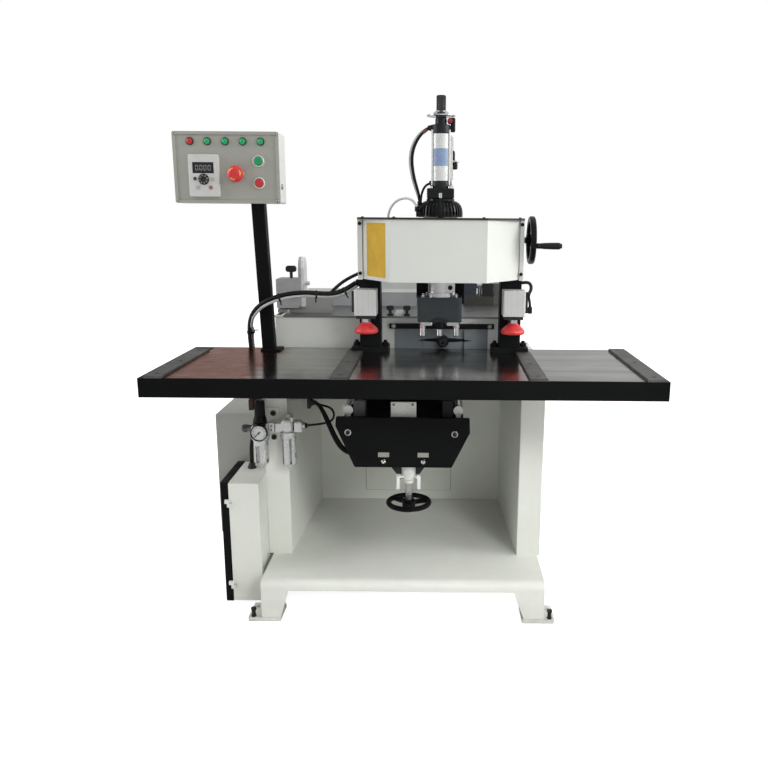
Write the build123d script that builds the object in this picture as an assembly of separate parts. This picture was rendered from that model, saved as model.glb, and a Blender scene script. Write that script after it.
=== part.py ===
from build123d import *
import math
import os

# Door lock mortiser, millimetres. +X right, +Y to the rear, +Z up.
# The machine is laid out from the table's front edge (Y = 0, X = 0 at the table's
# middle, Z = 0 on the floor) and shifted at the end to the bottom centre of its box.
SHIFT_X, SHIFT_Y = 0.0, -424.0

# ---- driving dimensions -------------------------------------------------
TABLE_W, TABLE_D, TABLE_Z = 1200.0, 425.5, 706.0   # over the raised bars
PLATE_Z = 700.0                                    # top of the steel plates
RAIL_H = 44.5                                      # front rail below PLATE_Z
BASE_X = -16.0                                     # middle of the stand
TRAY_X0, TRAY_X1, TRAY_Y0, TRAY_Y1, TRAY_Z = -390.0, 365.0, 183.0, 832.0, 114.0
COL_OUT, COL_IN0, COL_IN1 = 388.0, 321.0, 301.0    # half widths: outside, inside front, inside rear
COL_Y0, COL_Y1, COL_TOP = 357.0, 832.0, 657.0
POST_L, POST_R, POST_W, POST_Y0 = -107.5, 270.0, 57.0, 370.0
COVER_Z0, COVER_Z1 = 897.0, 1052.0
ROD_Y, ROD_Z_HI, ROD_Z_LO, SCREW_Z = 398.0, 1035.0, 950.0, 1000.0
HEAD_X, HEAD_Y = 79.5, 340.0                       # drill axis
SPINDLE_PITCH = 45.0
CLAMP_L, CLAMP_R, CLAMP_Y = -114.5, 274.0, 334.0
MORT_X, MORT_Z = 89.0, 717.0                       # mortising spindle axis
RAIL_X0, RAIL_X1, RAIL_Z = -149.0, 129.0, 582.0    # round feed rails
LIFT_X, LIFT_Y = 3.0, 205.0                        # lift screw axis
PANEL_Y = 310.0                                    # face of the control box
BED_X0, BED_X1, BED_Y0, BED_Y1, BED_Z1 = -380.0, 262.0, 448.0, 820.0, 782.0

NODES = {}


def node(name, *shapes):
    NODES[name] = list(shapes)


def bx(x0, x1, y0, y1, z0, z1):
    return Pos((x0 + x1) / 2, (y0 + y1) / 2, (z0 + z1) / 2) * Box(x1 - x0, y1 - y0, z1 - z0)


def cyl_z(x, y, z0, z1, r):
    return Pos(x, y, (z0 + z1) / 2) * Cylinder(r, z1 - z0)


def cyl_x(x0, x1, y, z, r):
    return Pos((x0 + x1) / 2, y, z) * Rot(0, 90, 0) * Cylinder(r, x1 - x0)


def cyl_y(x, y0, y1, z, r):
    return Pos(x, (y0 + y1) / 2, z) * Rot(90, 0, 0) * Cylinder(r, y1 - y0)


def face_of(pts):
    return make_face(Polyline(*pts, close=True))


def prism_yz(pts, x0, x1):
    return extrude(Plane(origin=(x0, 0, 0), x_dir=(0, 1, 0), z_dir=(1, 0, 0)) * face_of(pts), amount=x1 - x0)


def prism_xz(pts, y0, y1):
    return extrude(Plane(origin=(0, y0, 0), x_dir=(1, 0, 0), z_dir=(0, -1, 0)) * face_of(pts), amount=-(y1 - y0))


def prism_xy(pts, z0, z1):
    return extrude(Plane(origin=(0, 0, z0), x_dir=(1, 0, 0), z_dir=(0, 0, 1)) * face_of(pts), amount=z1 - z0)


def turned(pts):
    # (radius, height) outline turned about +Z through the origin
    return revolve(Plane.XZ * face_of(pts), Axis.Z)


def turned_z(x, y, pts):
    return Pos(x, y, 0) * turned(pts)


def turned_y(x, z, pts):
    # outline heights run along +Y
    return Pos(x, 0, z) * Rot(-90, 0, 0) * turned(pts)


def turned_x(y, z, pts):
    # outline heights run along +X
    return Pos(0, y, z) * Rot(0, 90, 0) * turned(pts)


def hex_z(x, y, z0, z1, af):
    pts = [(x + af / math.sqrt(3) * math.cos(math.radians(60 * i)), y + af / math.sqrt(3) * math.sin(math.radians(60 * i))) for i in range(6)]
    return prism_xy(pts, z0, z1)


def vertical_edges(shape):
    return shape.edges().filter_by(Axis.Z)


# ---- stand --------------------------------------------------------------
tx0, tx1 = TRAY_X0, TRAY_X1
outer = bx(tx0, tx1, TRAY_Y0, TRAY_Y1, 10, TRAY_Z)
outer = fillet(outer.edges().filter_by(Axis.X).group_by(Axis.Z)[-1].sort_by(Axis.Y)[0], 22)
inner = bx(tx0 + 5, tx1 - 5, TRAY_Y0 + 5, TRAY_Y1 - 5, 0, TRAY_Z - 5)
inner = fillet(inner.edges().filter_by(Axis.X).group_by(Axis.Z)[-1].sort_by(Axis.Y)[0], 17)
tray = outer - inner
tray -= prism_xz([(-341.7, 0), (-316.5, 86), (282, 86), (315, 0)], TRAY_Y0 - 20, TRAY_Y1 + 20)
tray -= prism_yz([(300, 0), (318, 84), (712, 84), (730, 0)], tx0 - 20, tx1 + 20)
node("base_tray", tray)

FOOT_X = 396.0
FOOT_Y_BOLT, FOOT_Y_HOLE = (188.0, 825.0), (240.0, 785.0)
feet, bolts = [], []
for sx in (-1, 1):
    for i, (y0, y1) in enumerate(((177.0, 262.0), (763.0, 848.0))):
        xa, xb = sorted((BASE_X + sx * 322, BASE_X + sx * 410))
        plate = bx(xa, xb, y0, y1, 0, 10)
        plate = fillet(vertical_edges(plate), 6)
        plate -= cyl_z(BASE_X + sx * FOOT_X, FOOT_Y_BOLT[i], -1, 11, 4.05)
        plate -= cyl_z(BASE_X + sx * FOOT_X, FOOT_Y_HOLE[i], -1, 11, 7.0)
        feet.append(plate)
        bx_, by_ = BASE_X + sx * FOOT_X, FOOT_Y_BOLT[i]
        bolts.append(cyl_z(bx_, by_, 1, 30, 4.0) + hex_z(bx_, by_, 29, 35, 13) + hex_z(bx_, by_, 10, 15, 12) + cyl_z(bx_, by_, 14, 30, 5.2))
node("foot_plates", *feet)
node("levelling_bolts", *bolts)


def column(s):
    def X(v):
        return BASE_X + s * v
    out = [(X(COL_OUT), COL_Y0), (X(COL_IN0), COL_Y0), (X(COL_IN1), 800), (X(COL_IN1), COL_Y1), (X(COL_OUT), COL_Y1)]
    inn = [(X(COL_OUT - 4), COL_Y0 + 4), (X(COL_IN0 + 4.2), COL_Y0 + 4), (X(COL_IN1 + 4.2), 800), (X(COL_IN1 + 4.2), COL_Y1 - 4), (X(COL_OUT - 4), COL_Y1 - 4)]
    body = prism_xy(out, TRAY_Z, COL_TOP)
    body = fillet(body.edges().filter_by(Axis.Z).group_by(Axis.Y)[0], 3)
    body -= prism_xy(inn, TRAY_Z - 1, COL_TOP - 10)
    if s > 0:
        body += bx(240, X(COL_IN1) + 2, 446, COL_Y1, COL_TOP - 10, COL_TOP)
    xm = X((COL_OUT + COL_IN0) / 2 + 4)
    body += prism_yz([(COL_Y0 + 1, 575), (60, 648), (30, 650), (30, COL_TOP), (COL_Y0 + 1, COL_TOP)], xm - 5, xm + 5)
    body += bx(xm - 22, xm + 22, 30, COL_Y0 + 1, COL_TOP - 5, COL_TOP)
    return body


node("left_column", column(-1))
node("right_column", column(1))

px0, px1 = BASE_X - COL_IN1, BASE_X + COL_IN1
back = bx(px0, px1, 800, 804, TRAY_Z, 640)
back += bx(-166, 122, 797.5, 800, 146, 330)
back += bx(px0, px1, 804, 826, 636, 640)
back += bx(px0, px1, 804, 826, TRAY_Z, TRAY_Z + 4)
node("rear_panel", back)

# ---- table --------------------------------------------------------------
H = TABLE_W / 2
BARS = ((-586.0, -544.0), (-167.5, -126.0), (284.0, 325.0), (549.0, 592.0))
BAR_END = (365.0, 352.0, 352.0, 415.0)
ZP = PLATE_Z - 6                              # underside of the plates
zr0 = PLATE_Z - RAIL_H
frame = bx(-H, H, 0, 5, zr0, PLATE_Z) + bx(-H, H, 0, 40, ZP - 5, ZP)
frame += bx(-H, H, TABLE_D - 5, TABLE_D, COL_TOP, PLATE_Z) + bx(-H, H, TABLE_D - 40, TABLE_D, ZP - 5, ZP)
frame += bx(-H, -H + 5, 0, TABLE_D, zr0, PLATE_Z) + bx(H - 5, H, 0, TABLE_D, zr0, PLATE_Z)
for a, b in BARS:
    a, b = max(a, -H + 5), min(b, H - 5)
    frame += bx(a, b, 4, TABLE_D - 4, ZP, PLATE_Z)
    frame += bx(a, a + 5, 4, TABLE_D - 4, ZP - 26, ZP + 2) + bx(b - 5, b, 4, TABLE_D - 4, ZP - 26, ZP + 2)
frame += bx(592 - 1, 596, 4, TABLE_D - 4, ZP, PLATE_Z) + bx(-596, -585, 4, TABLE_D - 4, ZP, PLATE_Z)
node("table_frame", frame)

plates = []
for (_, a), (b, _) in zip(BARS, BARS[1:]):
    plates.append(bx(a + 0.4, b - 0.4, 5.4, TABLE_D - 5.4, ZP, PLATE_Z))
node("table_plates", *plates)

bars = []
for (a, b), end in zip(BARS, BAR_END):
    bar = bx(a, b, 0, end, PLATE_Z, TABLE_Z)
    bar = chamfer(bar.edges().group_by(Axis.Z)[-1], 1.0)
    bars.append(bar)
node("table_bars", *bars)

# ---- operator panel -----------------------------------------------------
POLE = (-385.0, 385.0)
LEAN, LEAN_FWD = -1.4, 2.3
POLE_Z = PLATE_Z + 5
flange = fillet(vertical_edges(bx(POLE[0] - 21, POLE[0] + 33, POLE[1] - 21, POLE[1] + 34, PLATE_Z, POLE_Z)), 4)
tube = fillet(vertical_edges(bx(-17, 17, -17, 17, -4, 396)), 4) - bx(-14, 14, -14, 14, -5, 400)
tube = Pos(POLE[0], POLE[1], POLE_Z) * Rot(LEAN_FWD, LEAN, 0) * tube
tube -= bx(POLE[0] - 60, POLE[0] + 60, 320, 440, 640, POLE_Z - 1)
tube -= bx(POLE[0] - 80, POLE[0] + 60, 310, 440, 1089.0, 1140)
node("panel_pole", flange + tube)

CBX0, CBX1, CBZ0, CBZ1, CB_D = -591.0, -326.0, 1089.0, 1263.0, 80.0
case = bx(CBX0, CBX1, PANEL_Y, PANEL_Y + CB_D, CBZ0, CBZ1)
case = fillet(case.edges().filter_by(Axis.Y), 5)
case -= bx(CBX0 + 4, CBX1 - 4, PANEL_Y + 4.5, PANEL_Y + CB_D - 3, CBZ0 + 3, CBZ1 - 3)
case -= bx(CBX0 + 8, CBX1 - 8, PANEL_Y - 1, PANEL_Y + 2.5, CBZ0 + 8, CBZ1 - 8)
LAMPS = (-547.0, -503.5, -459.0, -415.0, -370.5)
LAMP_Z = 1239.0
KEY = (-552.5, -476.0, 1104.5, 1207.5)
DIAL = (-515.0, 1147.0)
ESTOP = (-432.0, 1160.0)
START, STOP = (-377.0, 1192.0), (-377.0, 1139.0)
FACE_Y = PANEL_Y + 2.5
for x in LAMPS:
    case -= cyl_y(x, PANEL_Y - 2, PANEL_Y + 6, LAMP_Z, 6.0)
for x, z in (START, STOP, ESTOP):
    case -= cyl_y(x, PANEL_Y - 2, PANEL_Y + 6, z, 11.0)
case -= bx(KEY[0] + 10, KEY[1] - 10, PANEL_Y - 2, PANEL_Y + 6, KEY[2] + 10, KEY[3] - 10)
lock = turned_x(PANEL_Y + 24, 1131, [(0, CBX1 - 0.2), (7, CBX1 - 0.2), (7, CBX1 + 2), (5.5, CBX1 + 3.5), (0, CBX1 + 3.5)])
case += lock
rings = []
for x, z in (START, STOP):
    rings.append(turned_y(x, z, [(11.6, FACE_Y - 7), (13.2, FACE_Y - 7), (14.6, FACE_Y - 4), (14.6, FACE_Y), (10.9, FACE_Y), (10.9, FACE_Y + 22), (10.3, FACE_Y + 22), (10.3, FACE_Y - 3), (11.6, FACE_Y - 3)]))
rings.append(turned_y(ESTOP[0], ESTOP[1], [(10.3, FACE_Y - 6), (15, FACE_Y - 6), (17.5, FACE_Y - 2), (17.5, FACE_Y), (10.9, FACE_Y), (10.9, FACE_Y + 22), (10.3, FACE_Y + 22)]))
node("control_box", case, *rings)

lamps = []
for x in LAMPS:
    lamps.append(turned_y(x, LAMP_Z, [(0, FACE_Y - 6), (3.4, FACE_Y - 5.8), (6.2, FACE_Y - 4.4), (7.2, FACE_Y - 4.4), (9.6, FACE_Y - 3), (9.6, FACE_Y), (5.9, FACE_Y), (5.9, FACE_Y + 16), (0, FACE_Y + 16)]))
node("indicator_lamps", *lamps)


def press(x, z):
    return turned_y(x, z, [(0, FACE_Y - 8.5), (8.2, FACE_Y - 8.5), (10.0, FACE_Y - 7.2), (10.0, FACE_Y + 12), (0, FACE_Y + 12)])


node("start_button", press(*START))
node("stop_button", press(*STOP))
ey = FACE_Y
node("emergency_stop", turned_y(ESTOP[0], ESTOP[1], [(0, ey - 32), (8, ey - 31.4), (14, ey - 29.5), (18.4, ey - 26), (20, ey - 22.5), (20, ey - 19.5), (18.5, ey - 17.5), (12, ey - 14), (10.0, ey - 12), (10.0, ey + 14), (0, ey + 14)]))

pad = fillet(bx(KEY[0], KEY[1], FACE_Y - 9, FACE_Y, KEY[2], KEY[3]).edges().filter_by(Axis.Y), 5)
pad = fillet(pad.edges().group_by(Axis.Y)[0], 2)
pad -= bx(-542, -488.5, FACE_Y - 10, FACE_Y - 7.6, 1161.5, 1188.5)
pad -= cyl_y(DIAL[0], FACE_Y - 12, FACE_Y - 5, DIAL[1], 13.6)
pad -= cyl_y(DIAL[0], FACE_Y - 6, FACE_Y + 1, DIAL[1], 3.3)
for kx, kz, kr in ((-536.5, 1148.5, 4.4), (-494.5, 1147.5, 4.4), (-530.4, 1127.0, 4.8), (-498.0, 1127.0, 4.8)):
    pad += turned_y(kx, kz, [(0, FACE_Y - 10.4), (kr - 0.6, FACE_Y - 10.4), (kr, FACE_Y - 9.8), (kr, FACE_Y - 8.5), (0, FACE_Y - 8.5)])
node("inverter_keypad", pad)
dial = turned_y(DIAL[0], DIAL[1], [(0, FACE_Y - 11), (5, FACE_Y - 11), (6, FACE_Y - 12.5), (11.5, FACE_Y - 12.5), (13.0, FACE_Y - 11), (13.0, FACE_Y - 5.6), (3.2, FACE_Y - 5.6), (3.2, FACE_Y + 3), (0, FACE_Y + 3)])
for i in range(12):
    a = math.radians(30 * i)
    dial -= cyl_y(DIAL[0] + 13.6 * math.cos(a), FACE_Y - 13, FACE_Y - 6.5, DIAL[1] + 13.6 * math.sin(a), 1.5)
node("keypad_dial", dial)

# ---- air service unit on the left column --------------------------------
AX, AY = -405.0, 323.0
LX = -328.0
unit = fillet(bx(AX - 22, AX + 22, AY - 21, AY + 21, 466, 505).edges().filter_by(Axis.Z), 6)
unit += turned_z(AX, AY, [(0, 504), (20.5, 504), (20.5, 511), (0, 511)])
unit += cyl_x(-454, AX - 20, AY, 495, 9) + cyl_x(-452, -440, AY, 495, 12)
unit += bx(AX + 18, LX - 20, AY - 14, AY + 14, 488, 512)
unit += fillet(bx(LX - 25, LX + 25, AY - 18, AY + 18, 487, 520).edges().filter_by(Axis.Z), 5)
unit += cyl_x(LX + 24, -286, AY, 503, 9)
unit += turned_z(LX + 4, AY, [(0, 519), (11, 519), (11, 524), (8.5, 526), (8.5, 533), (5, 537), (0, 537)])
unit += bx(-385, -362, AY + 12, 354, 490, 510)
unit += bx(-392, -358, 353, 357, 450, 545)
unit -= cyl_z(AX, AY, 480, 520, 5.1)
gauge = turned_y(-402.0, 490.0, [(0, 290), (19.5, 290), (20, 286), (23, 286), (23, 300), (0, 302.5)])
unit += gauge
unit -= cyl_y(-402.0, 280, 296, 490, 1.05)
bowl_a = turned_z(AX, AY, [(0, 384), (6, 384), (7, 388), (16, 392), (20, 400), (20, 462), (22, 463), (22, 466), (0, 466)])
bowl_b = turned_z(LX, AY, [(0, 383), (5, 383), (6, 387), (16, 390), (20, 397), (20, 483), (21, 484), (21, 487), (0, 487)])
valve = bx(-277, -235, 285, 335, 622, ZP)
valve += bx(-271, -263, 291, 338, 558, 623)
for y, z in ((300.5, 577), (314.5, 573), (330, 565)):
    valve += cyl_x(-264, -256, y, z, 6)
node("air_service_unit", unit, bowl_a, bowl_b, valve)
knob = turned_z(AX, AY, [(0, 500), (5, 500), (5, 512.6), (19, 512.6), (19, 515.5), (14.5, 531), (14.5, 536), (12.5, 538), (12.5, 570), (10.5, 574), (0, 574)])
for i in range(16):
    a = math.radians(22.5 * i)
    knob -= cyl_z(AX + 13.2 * math.cos(a), AY + 13.2 * math.sin(a), 541, 568, 1.4)
node("regulator_knob", knob)
needle = bx(-403.0, -401.0, 287.6, 289.0, 484, 506) + cyl_y(-402.0, 287.4, 289.4, 490, 2.6) + cyl_y(-402.0, 288, 295.5, 490, 1.0)
needle = Pos(-402, 0, 490) * Rot(0, -135, 0) * Pos(402, 0, -490) * needle
node("gauge_needle", needle)

# ---- cabinets at the left -----------------------------------------------
CX0, CX1, CY0, CY1 = -486.0, -404.0, 268.0, 458.0
cab = bx(CX0, CX1, CY0, CY1, 13, 356)
cab = fillet(cab.edges().filter_by(Axis.X).group_by(Axis.Z)[-1], 4)
cab -= bx(CX0 - 1, CX1 - 3, CY0 + 3, CY1 - 3, 16, 353)
cab += bx(CX0, CX0 + 3, CY0 + 2, CY0 + 12, 15, 351) + bx(CX0, CX0 + 3, CY1 - 12, CY1 - 2, 15, 351)
cab += bx(CX0 + 3, CX0 + 8, CY0 + 2.5, CY1 - 2.5, 15, 21)
gland = turned_z(-452, 398, [(0, 352), (8, 352), (12, 355.5), (12, 361), (9.5, 362), (9.5, 368), (7, 372), (0, 372)])
cab += gland
HX, HY = -486.0, 263.5
doorp = fillet(bx(-507.5, -486.6, 268.2, 457, 11, 357).edges().filter_by(Axis.Z), 2.5)
for z in (52.0, 290.0):
    cab += cyl_z(HX, HY, z, z + 9.6, 4.5) + bx(HX, HX + 10, HY - 3, 268.5, z, z + 9.6) + cyl_z(HX, HY, z, z + 20, 2.5)
    doorp += (cyl_z(HX, HY, z + 10, z + 20, 4.5) + bx(HX - 10, HX, HY - 3, 268.6, z + 10, z + 20)) - cyl_z(HX, HY, z + 5, z + 25, 2.55)
handle = bx(-512.5, -507, 432, 444, 170, 215)
doorp += fillet(handle.edges().filter_by(Axis.X), 3)
node("electrical_cabinet", cab)
node("cabinet_door", doorp)

big = bx(-568.5, -404, 465, 720, 130, 498)
big = fillet(big.edges().filter_by(Axis.Y), 6)
big -= bx(-565.5, -407, 468, 717, 133, 495)
big += turned_y(-443, 460, [(0, 448), (7, 448), (9.5, 454), (9.5, 460), (12, 461), (12, 466), (0, 466)])
big += turned_z(-455, 500, [(0, 497), (13, 497), (13, 505), (10, 506), (10, 514), (7, 520), (0, 520)])
big += bx(-570.5, -568, 485, 700, 150, 478)
node("inverter_box", big)

# ---- gantry -------------------------------------------------------------
posts = []
pw = POST_W / 2
ex_l = POST_L - pw
py0, py1 = POST_Y0, POST_Y0 + POST_W
for c in (POST_L, POST_R):
    p = fillet(vertical_edges(bx(c - pw, c + pw, py0, py1, PLATE_Z + 13, COVER_Z1)), 4)
    p -= bx(c - pw + 4, c + pw - 4, py0 + 4, py1 - 4, PLATE_Z + 15, COVER_Z1 + 1)
    fl = fillet(vertical_edges(bx(c - 50, c + 50, 356, 424, PLATE_Z, PLATE_Z + 15)), 5)
    p += fl
    for z in (ROD_Z_HI, ROD_Z_LO):
        p -= cyl_x(c - 40, c + 40, ROD_Y, z, 10.0)
    p -= cyl_x(c - 40, c + 40, ROD_Y, SCREW_Z, 8.05)
    posts.append(p)
    for dx in (-39, 39):
        posts[-1] += hex_z(c + dx, 394, PLATE_Z + 15, PLATE_Z + 23, 16) + cyl_z(c + dx, 394, PLATE_Z + 23, PLATE_Z + 29, 5)
posts[0] += turned_x(402, 884, [(0, ex_l - 12), (7.5, ex_l - 12), (9.2, ex_l - 9), (9.2, ex_l - 4), (10.5, ex_l - 4), (10.5, ex_l + 1), (0, ex_l + 1)])
node("gantry_posts", *posts)

ex0, ex1 = POST_L - pw, POST_R + pw          # outer faces of the posts
END_T = 2.0                                   # cover end plates
fold = prism_xy([(-125, 369.6), (-45, 250), (197, 250), (289.5, 369.6)], COVER_Z0, COVER_Z1)
fold -= prism_xy([(-128.3, 380), (-43.4, 253), (195.5, 253), (293.7, 380)], COVER_Z0 - 1, COVER_Z1 + 1)
rear = bx(ex0, ex1, py1 + 0.4, py1 + 3.4, COVER_Z0, COVER_Z1)
end_l = bx(ex0 - END_T, ex0, 364, py1 + 3.4, COVER_Z0 - 2, COVER_Z1) + bx(ex0 - END_T, -125.4, 364, 369.6, COVER_Z0 - 2, COVER_Z1)
end_r = bx(ex1, ex1 + END_T, 364, py1 + 3.4, COVER_Z0 - 2, COVER_Z1) + bx(289.9, ex1 + END_T, 364, 369.6, COVER_Z0 - 2, COVER_Z1)
end_r -= cyl_x(ex1 - 5, ex1 + 10, ROD_Y, SCREW_Z, 8.5)
top = prism_xy([(ex0 - END_T, py1 + 4), (ex0 - END_T, 362), (-46.5, 247), (198.5, 247), (ex1 + END_T, 362), (ex1 + END_T, py1 + 4)], COVER_Z1, COVER_Z1 + 5)
slot = Pos(HEAD_X, HEAD_Y, COVER_Z1 + 2) * extrude(SlotOverall(198, 96), amount=10, both=True)
top -= slot
top -= bx(-116, -10, 338, 358, COVER_Z1 - 5, COVER_Z1 + 10)
node("gantry_cover", fold, rear, end_l, end_r, top)

node("cross_guide_rods", cyl_x(ex0 + 0.5, ex1 - 0.5, ROD_Y, ROD_Z_HI, 10.0), cyl_x(ex0 + 0.5, ex1 - 0.5, ROD_Y, ROD_Z_LO, 10.0))

WHEEL_R = 63.0
sc = cyl_x(ex0 + 3, 330, ROD_Y, SCREW_Z, 8.0)
wheel = turned_x(ROD_Y, SCREW_Z, [(0, 309), (15, 309), (17, 312), (17, 320), (48, 324), (48, 318), (52, 315.5), (WHEEL_R - 3, 315.5), (WHEEL_R, 318.5), (WHEEL_R, 327.5), (WHEEL_R - 3, 330.5), (52, 330.5), (48, 330), (17, 328), (17, 334), (13, 336), (0, 336)])
for i in range(3):
    a = math.radians(120 * i + 90)
    wheel -= cyl_x(300, 345, ROD_Y + 32 * math.cos(a), SCREW_Z + 32 * math.sin(a), 10.5)
GRIP = (ROD_Y - 52.0, SCREW_Z - 13.0)
wheel += cyl_x(328, 394, GRIP[0], GRIP[1], 4.0) + cyl_x(394, 397, GRIP[0], GRIP[1], 6.0)
node("cross_screw", sc + wheel)
node("handwheel_grip", turned_x(GRIP[0], GRIP[1], [(4.08, 331.5), (6.6, 331.5), (7.4, 334), (7.0, 340), (8.2, 352), (8.8, 370), (9.0, 388), (8.0, 392.5), (7, 393.5), (4.08, 393.5)]))

clamps = []
for c in (CLAMP_L, CLAMP_R):
    b = fillet(vertical_edges(bx(c - 29, c + 29, CLAMP_Y - 29, CLAMP_Y + 29, 806, 873)), 4)
    for dx in (-1, 1):
        for dy in (-14, 14):
            b -= bx(*sorted((c + dx * 27.2, c + dx * 30)), CLAMP_Y + dy - 3, CLAMP_Y + dy + 3, 805, 874)
    b += bx(c - 24, c + 24, CLAMP_Y + 28, 370, 808, 871)
    b += fillet(vertical_edges(bx(c - 25, c + 25, CLAMP_Y - 24, CLAMP_Y + 29, 797, 807)), 4)
    s = 1 if c > 0 else -1
    b += cyl_x(*sorted((c + s * 28, c + s * 37)), CLAMP_Y, 862, 6) + cyl_x(*sorted((c + s * 28, c + s * 37)), CLAMP_Y, 818, 6)
    b += cyl_z(c + s * 34, CLAMP_Y, 814, 866, 4)
    b -= cyl_z(c, CLAMP_Y, 780, 868, 8.05)
    clamps.append(b)
node("clamp_cylinders", *clamps)


def clamp_foot(c):
    rod = cyl_z(c, CLAMP_Y, 778, 865, 8.0) + hex_z(c, CLAMP_Y, 786, 795, 20)
    padd = turned_z(c, CLAMP_Y, [(0, 757), (28, 757), (31, 759), (31.8, 763), (29.5, 769), (20.5, 778), (14, 783), (12.5, 786), (8.0, 786), (8.0, 778), (0, 778)])
    return rod, padd


node("left_clamp_foot", *clamp_foot(CLAMP_L))
node("right_clamp_foot", *clamp_foot(CLAMP_R))

# ---- drill unit ---------------------------------------------------------
hx, hy = HEAD_X, HEAD_Y
carriage = bx(hx - 55, hx + 55, 380, 421, 930, 1045)
carriage += bx(hx - 40, hx + 40, hy, 384, 962, 1045)
carriage += cyl_z(hx, hy, 958, 1058, 34) + cyl_z(hx, hy, 1044, 1058, 44)
carriage += bx(17, 50, 382, 392, 846, 932) + bx(120, 145, 382, 392, 830, 940) + bx(48, 122, 382, 392, 905, 932)
carriage -= cyl_z(hx, hy, 950, 1060, 25.05)
for z in (ROD_Z_HI, ROD_Z_LO):
    carriage -= cyl_x(hx - 90, hx + 90, ROD_Y, z, 10.05)
carriage -= cyl_x(hx - 90, hx + 90, ROD_Y, SCREW_Z, 8.05)
node("head_carriage", carriage)

motor = turned_z(hx, hy, [(8.05, 1058.2), (57.5, 1058.2), (57.5, 1062), (53.5, 1063), (53.2, 1074), (51, 1083), (46, 1091), (38, 1097), (36, 1099), (36, 1104), (8.05, 1104)])
fin = [(45, 1061), (57.5, 1061), (57.3, 1072), (56, 1080), (53, 1087.5), (48, 1093.5), (41, 1098), (36, 1099), (36, 1090)]
for i in range(36):
    motor += Pos(hx, hy, 0) * Rot(0, 0, 10 * i) * prism_xz(fin, -2.1, 2.1)
motor += bx(17, 27, hy - 8, hy + 12, 1059, 1076)
motor += cyl_z(26, 346, 1080, 1098, 6)
motor += cyl_z(19, 322, 1072, 1084, 5) + cyl_x(19, 36, 322, 1077, 4)
node("drill_motor", motor)

cylr = fillet(vertical_edges(bx(hx - 34.5, hx + 34.5, hy - 32, hy + 32, 1104, 1130)), 3)
for dx in (-24, 24):
    for dy in (-22, 22):
        cylr += cyl_z(hx + dx, hy + dy, 1129, 1136, 5)
cylr += turned_z(hx, hy, [(0, 1129.5), (26, 1129.5), (26, 1146), (24, 1148), (24, 1262), (23.5, 1263), (23.5, 1283), (21.5, 1285), (14.5, 1285), (14.5, 1303.7), (0, 1303.7)])
cylr += cyl_x(hx + 20, hx + 33, hy, 1274, 6) + cyl_z(hx + 30, hy, 1270, 1300, 5.5)
cylr += cyl_x(hx + 20, hx + 40, hy, 1186, 6) + cyl_z(hx + 38, hy, 1180, 1224, 7)
cylr += cyl_x(hx - 31, hx - 20, hy - 4, 1277, 7)
cylr -= cyl_z(hx, hy, 1100, 1310, 8.05)
node("feed_cylinder", cylr)

rod = cyl_z(hx, hy, 986, 1320, 8.0) + turned_z(hx, hy, [(0, 1304), (31, 1304), (35.4, 1305), (36, 1306), (36, 1307.6), (27, 1310.4), (18, 1314.4), (12.6, 1319), (0, 1319)]) + cyl_z(hx, hy, 1317, 1355, 12)
rod = chamfer(rod.edges().filter_by(GeomType.CIRCLE).sort_by(Axis.Z)[-1], 1.5)
node("feed_rod", rod)

quill = cyl_z(hx, hy, 894, 986, 25.0)
collar = cyl_z(hx, hy, 866, 895, 31) + fillet(bx(hx + 10, hx + 39.5, hy - 28, hy - 2, 866.5, 893.5).edges().filter_by(Axis.Z), 2)
collar -= bx(hx + 25.5, hx + 50, hy - 15, hy - 13, 860, 900)
collar -= cyl_y(hx + 27, hy - 40, hy - 18, 880, 6.2)
flan = cyl_z(hx, hy, 855, 866, 36.5)
arms = []
for s in (-1, 1):
    arm = fillet(vertical_edges(bx(*sorted((hx + s * 17.6, hx + s * 52)), hy - 11, hy + 11, 778, 790)), 5)
    arm += cyl_z(hx + s * SPINDLE_PITCH, hy, 772, 790, 9)
    arm -= cyl_z(hx + s * SPINDLE_PITCH, hy, 760, 795, 5.05)
    arms.append(arm)
node("drill_quill", quill + collar + flan, *arms)

gb = fillet(bx(hx - 58, hx + 58, hy - 37, hy + 37, 790, 855).edges().filter_by(Axis.Z), 9)
gb = fillet(gb.edges().group_by(Axis.Z)[0], 3)
gb -= bx(hx - 55.5, hx + 55.5, hy - 33, hy + 33, 794, 851)
gb += turned_z(hx, hy, [(0, 768), (9, 768), (11, 771), (16, 784), (17, 791), (0, 795)])
for s in (-1, 0, 1):
    gb -= cyl_z(hx + s * SPINDLE_PITCH, hy, 760, 800, 6.05 if s == 0 else 5.05)
node("gearbox", gb)

PUL_R = 7.2


def belt(s, z0):
    x = hx + s * SPINDLE_PITCH / 2
    b = extrude(Plane(origin=(x, hy, z0)) * (SlotCenterToCenter(SPINDLE_PITCH, 2 * (PUL_R + 2.0)) - SlotCenterToCenter(SPINDLE_PITCH, 2 * (PUL_R + 0.4))), amount=10)
    return b


node("drive_belts", belt(-1, 803), belt(1, 820))


def spindle(s):
    x = hx + s * SPINDLE_PITCH
    r = 6.0 if s == 0 else 5.0
    zp = [(803, 813)] if s == -1 else [(820, 830)] if s == 1 else [(803, 813), (820, 830)]
    b = cyl_z(x, hy, 766, 838, r)
    for a, c in zp:
        b += cyl_z(x, hy, a, c, PUL_R) + cyl_z(x, hy, a - 1.2, a - 0.2, PUL_R + 2.6) + cyl_z(x, hy, c + 0.2, c + 1.2, PUL_R + 2.6) + cyl_z(x, hy, a - 1.2, c + 1.2, PUL_R - 1)
    zt = 767.4 if s == 0 else 771.4
    b += turned_z(x, hy, [(0, 748), (5.8, 748), (7.6, 751), (7.6, zt), (0, zt)])
    b -= cyl_z(x, hy, 740, 764, 4.0)
    return b


node("center_spindle", spindle(0))
node("left_spindle", spindle(-1))
node("right_spindle", spindle(1))

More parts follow.
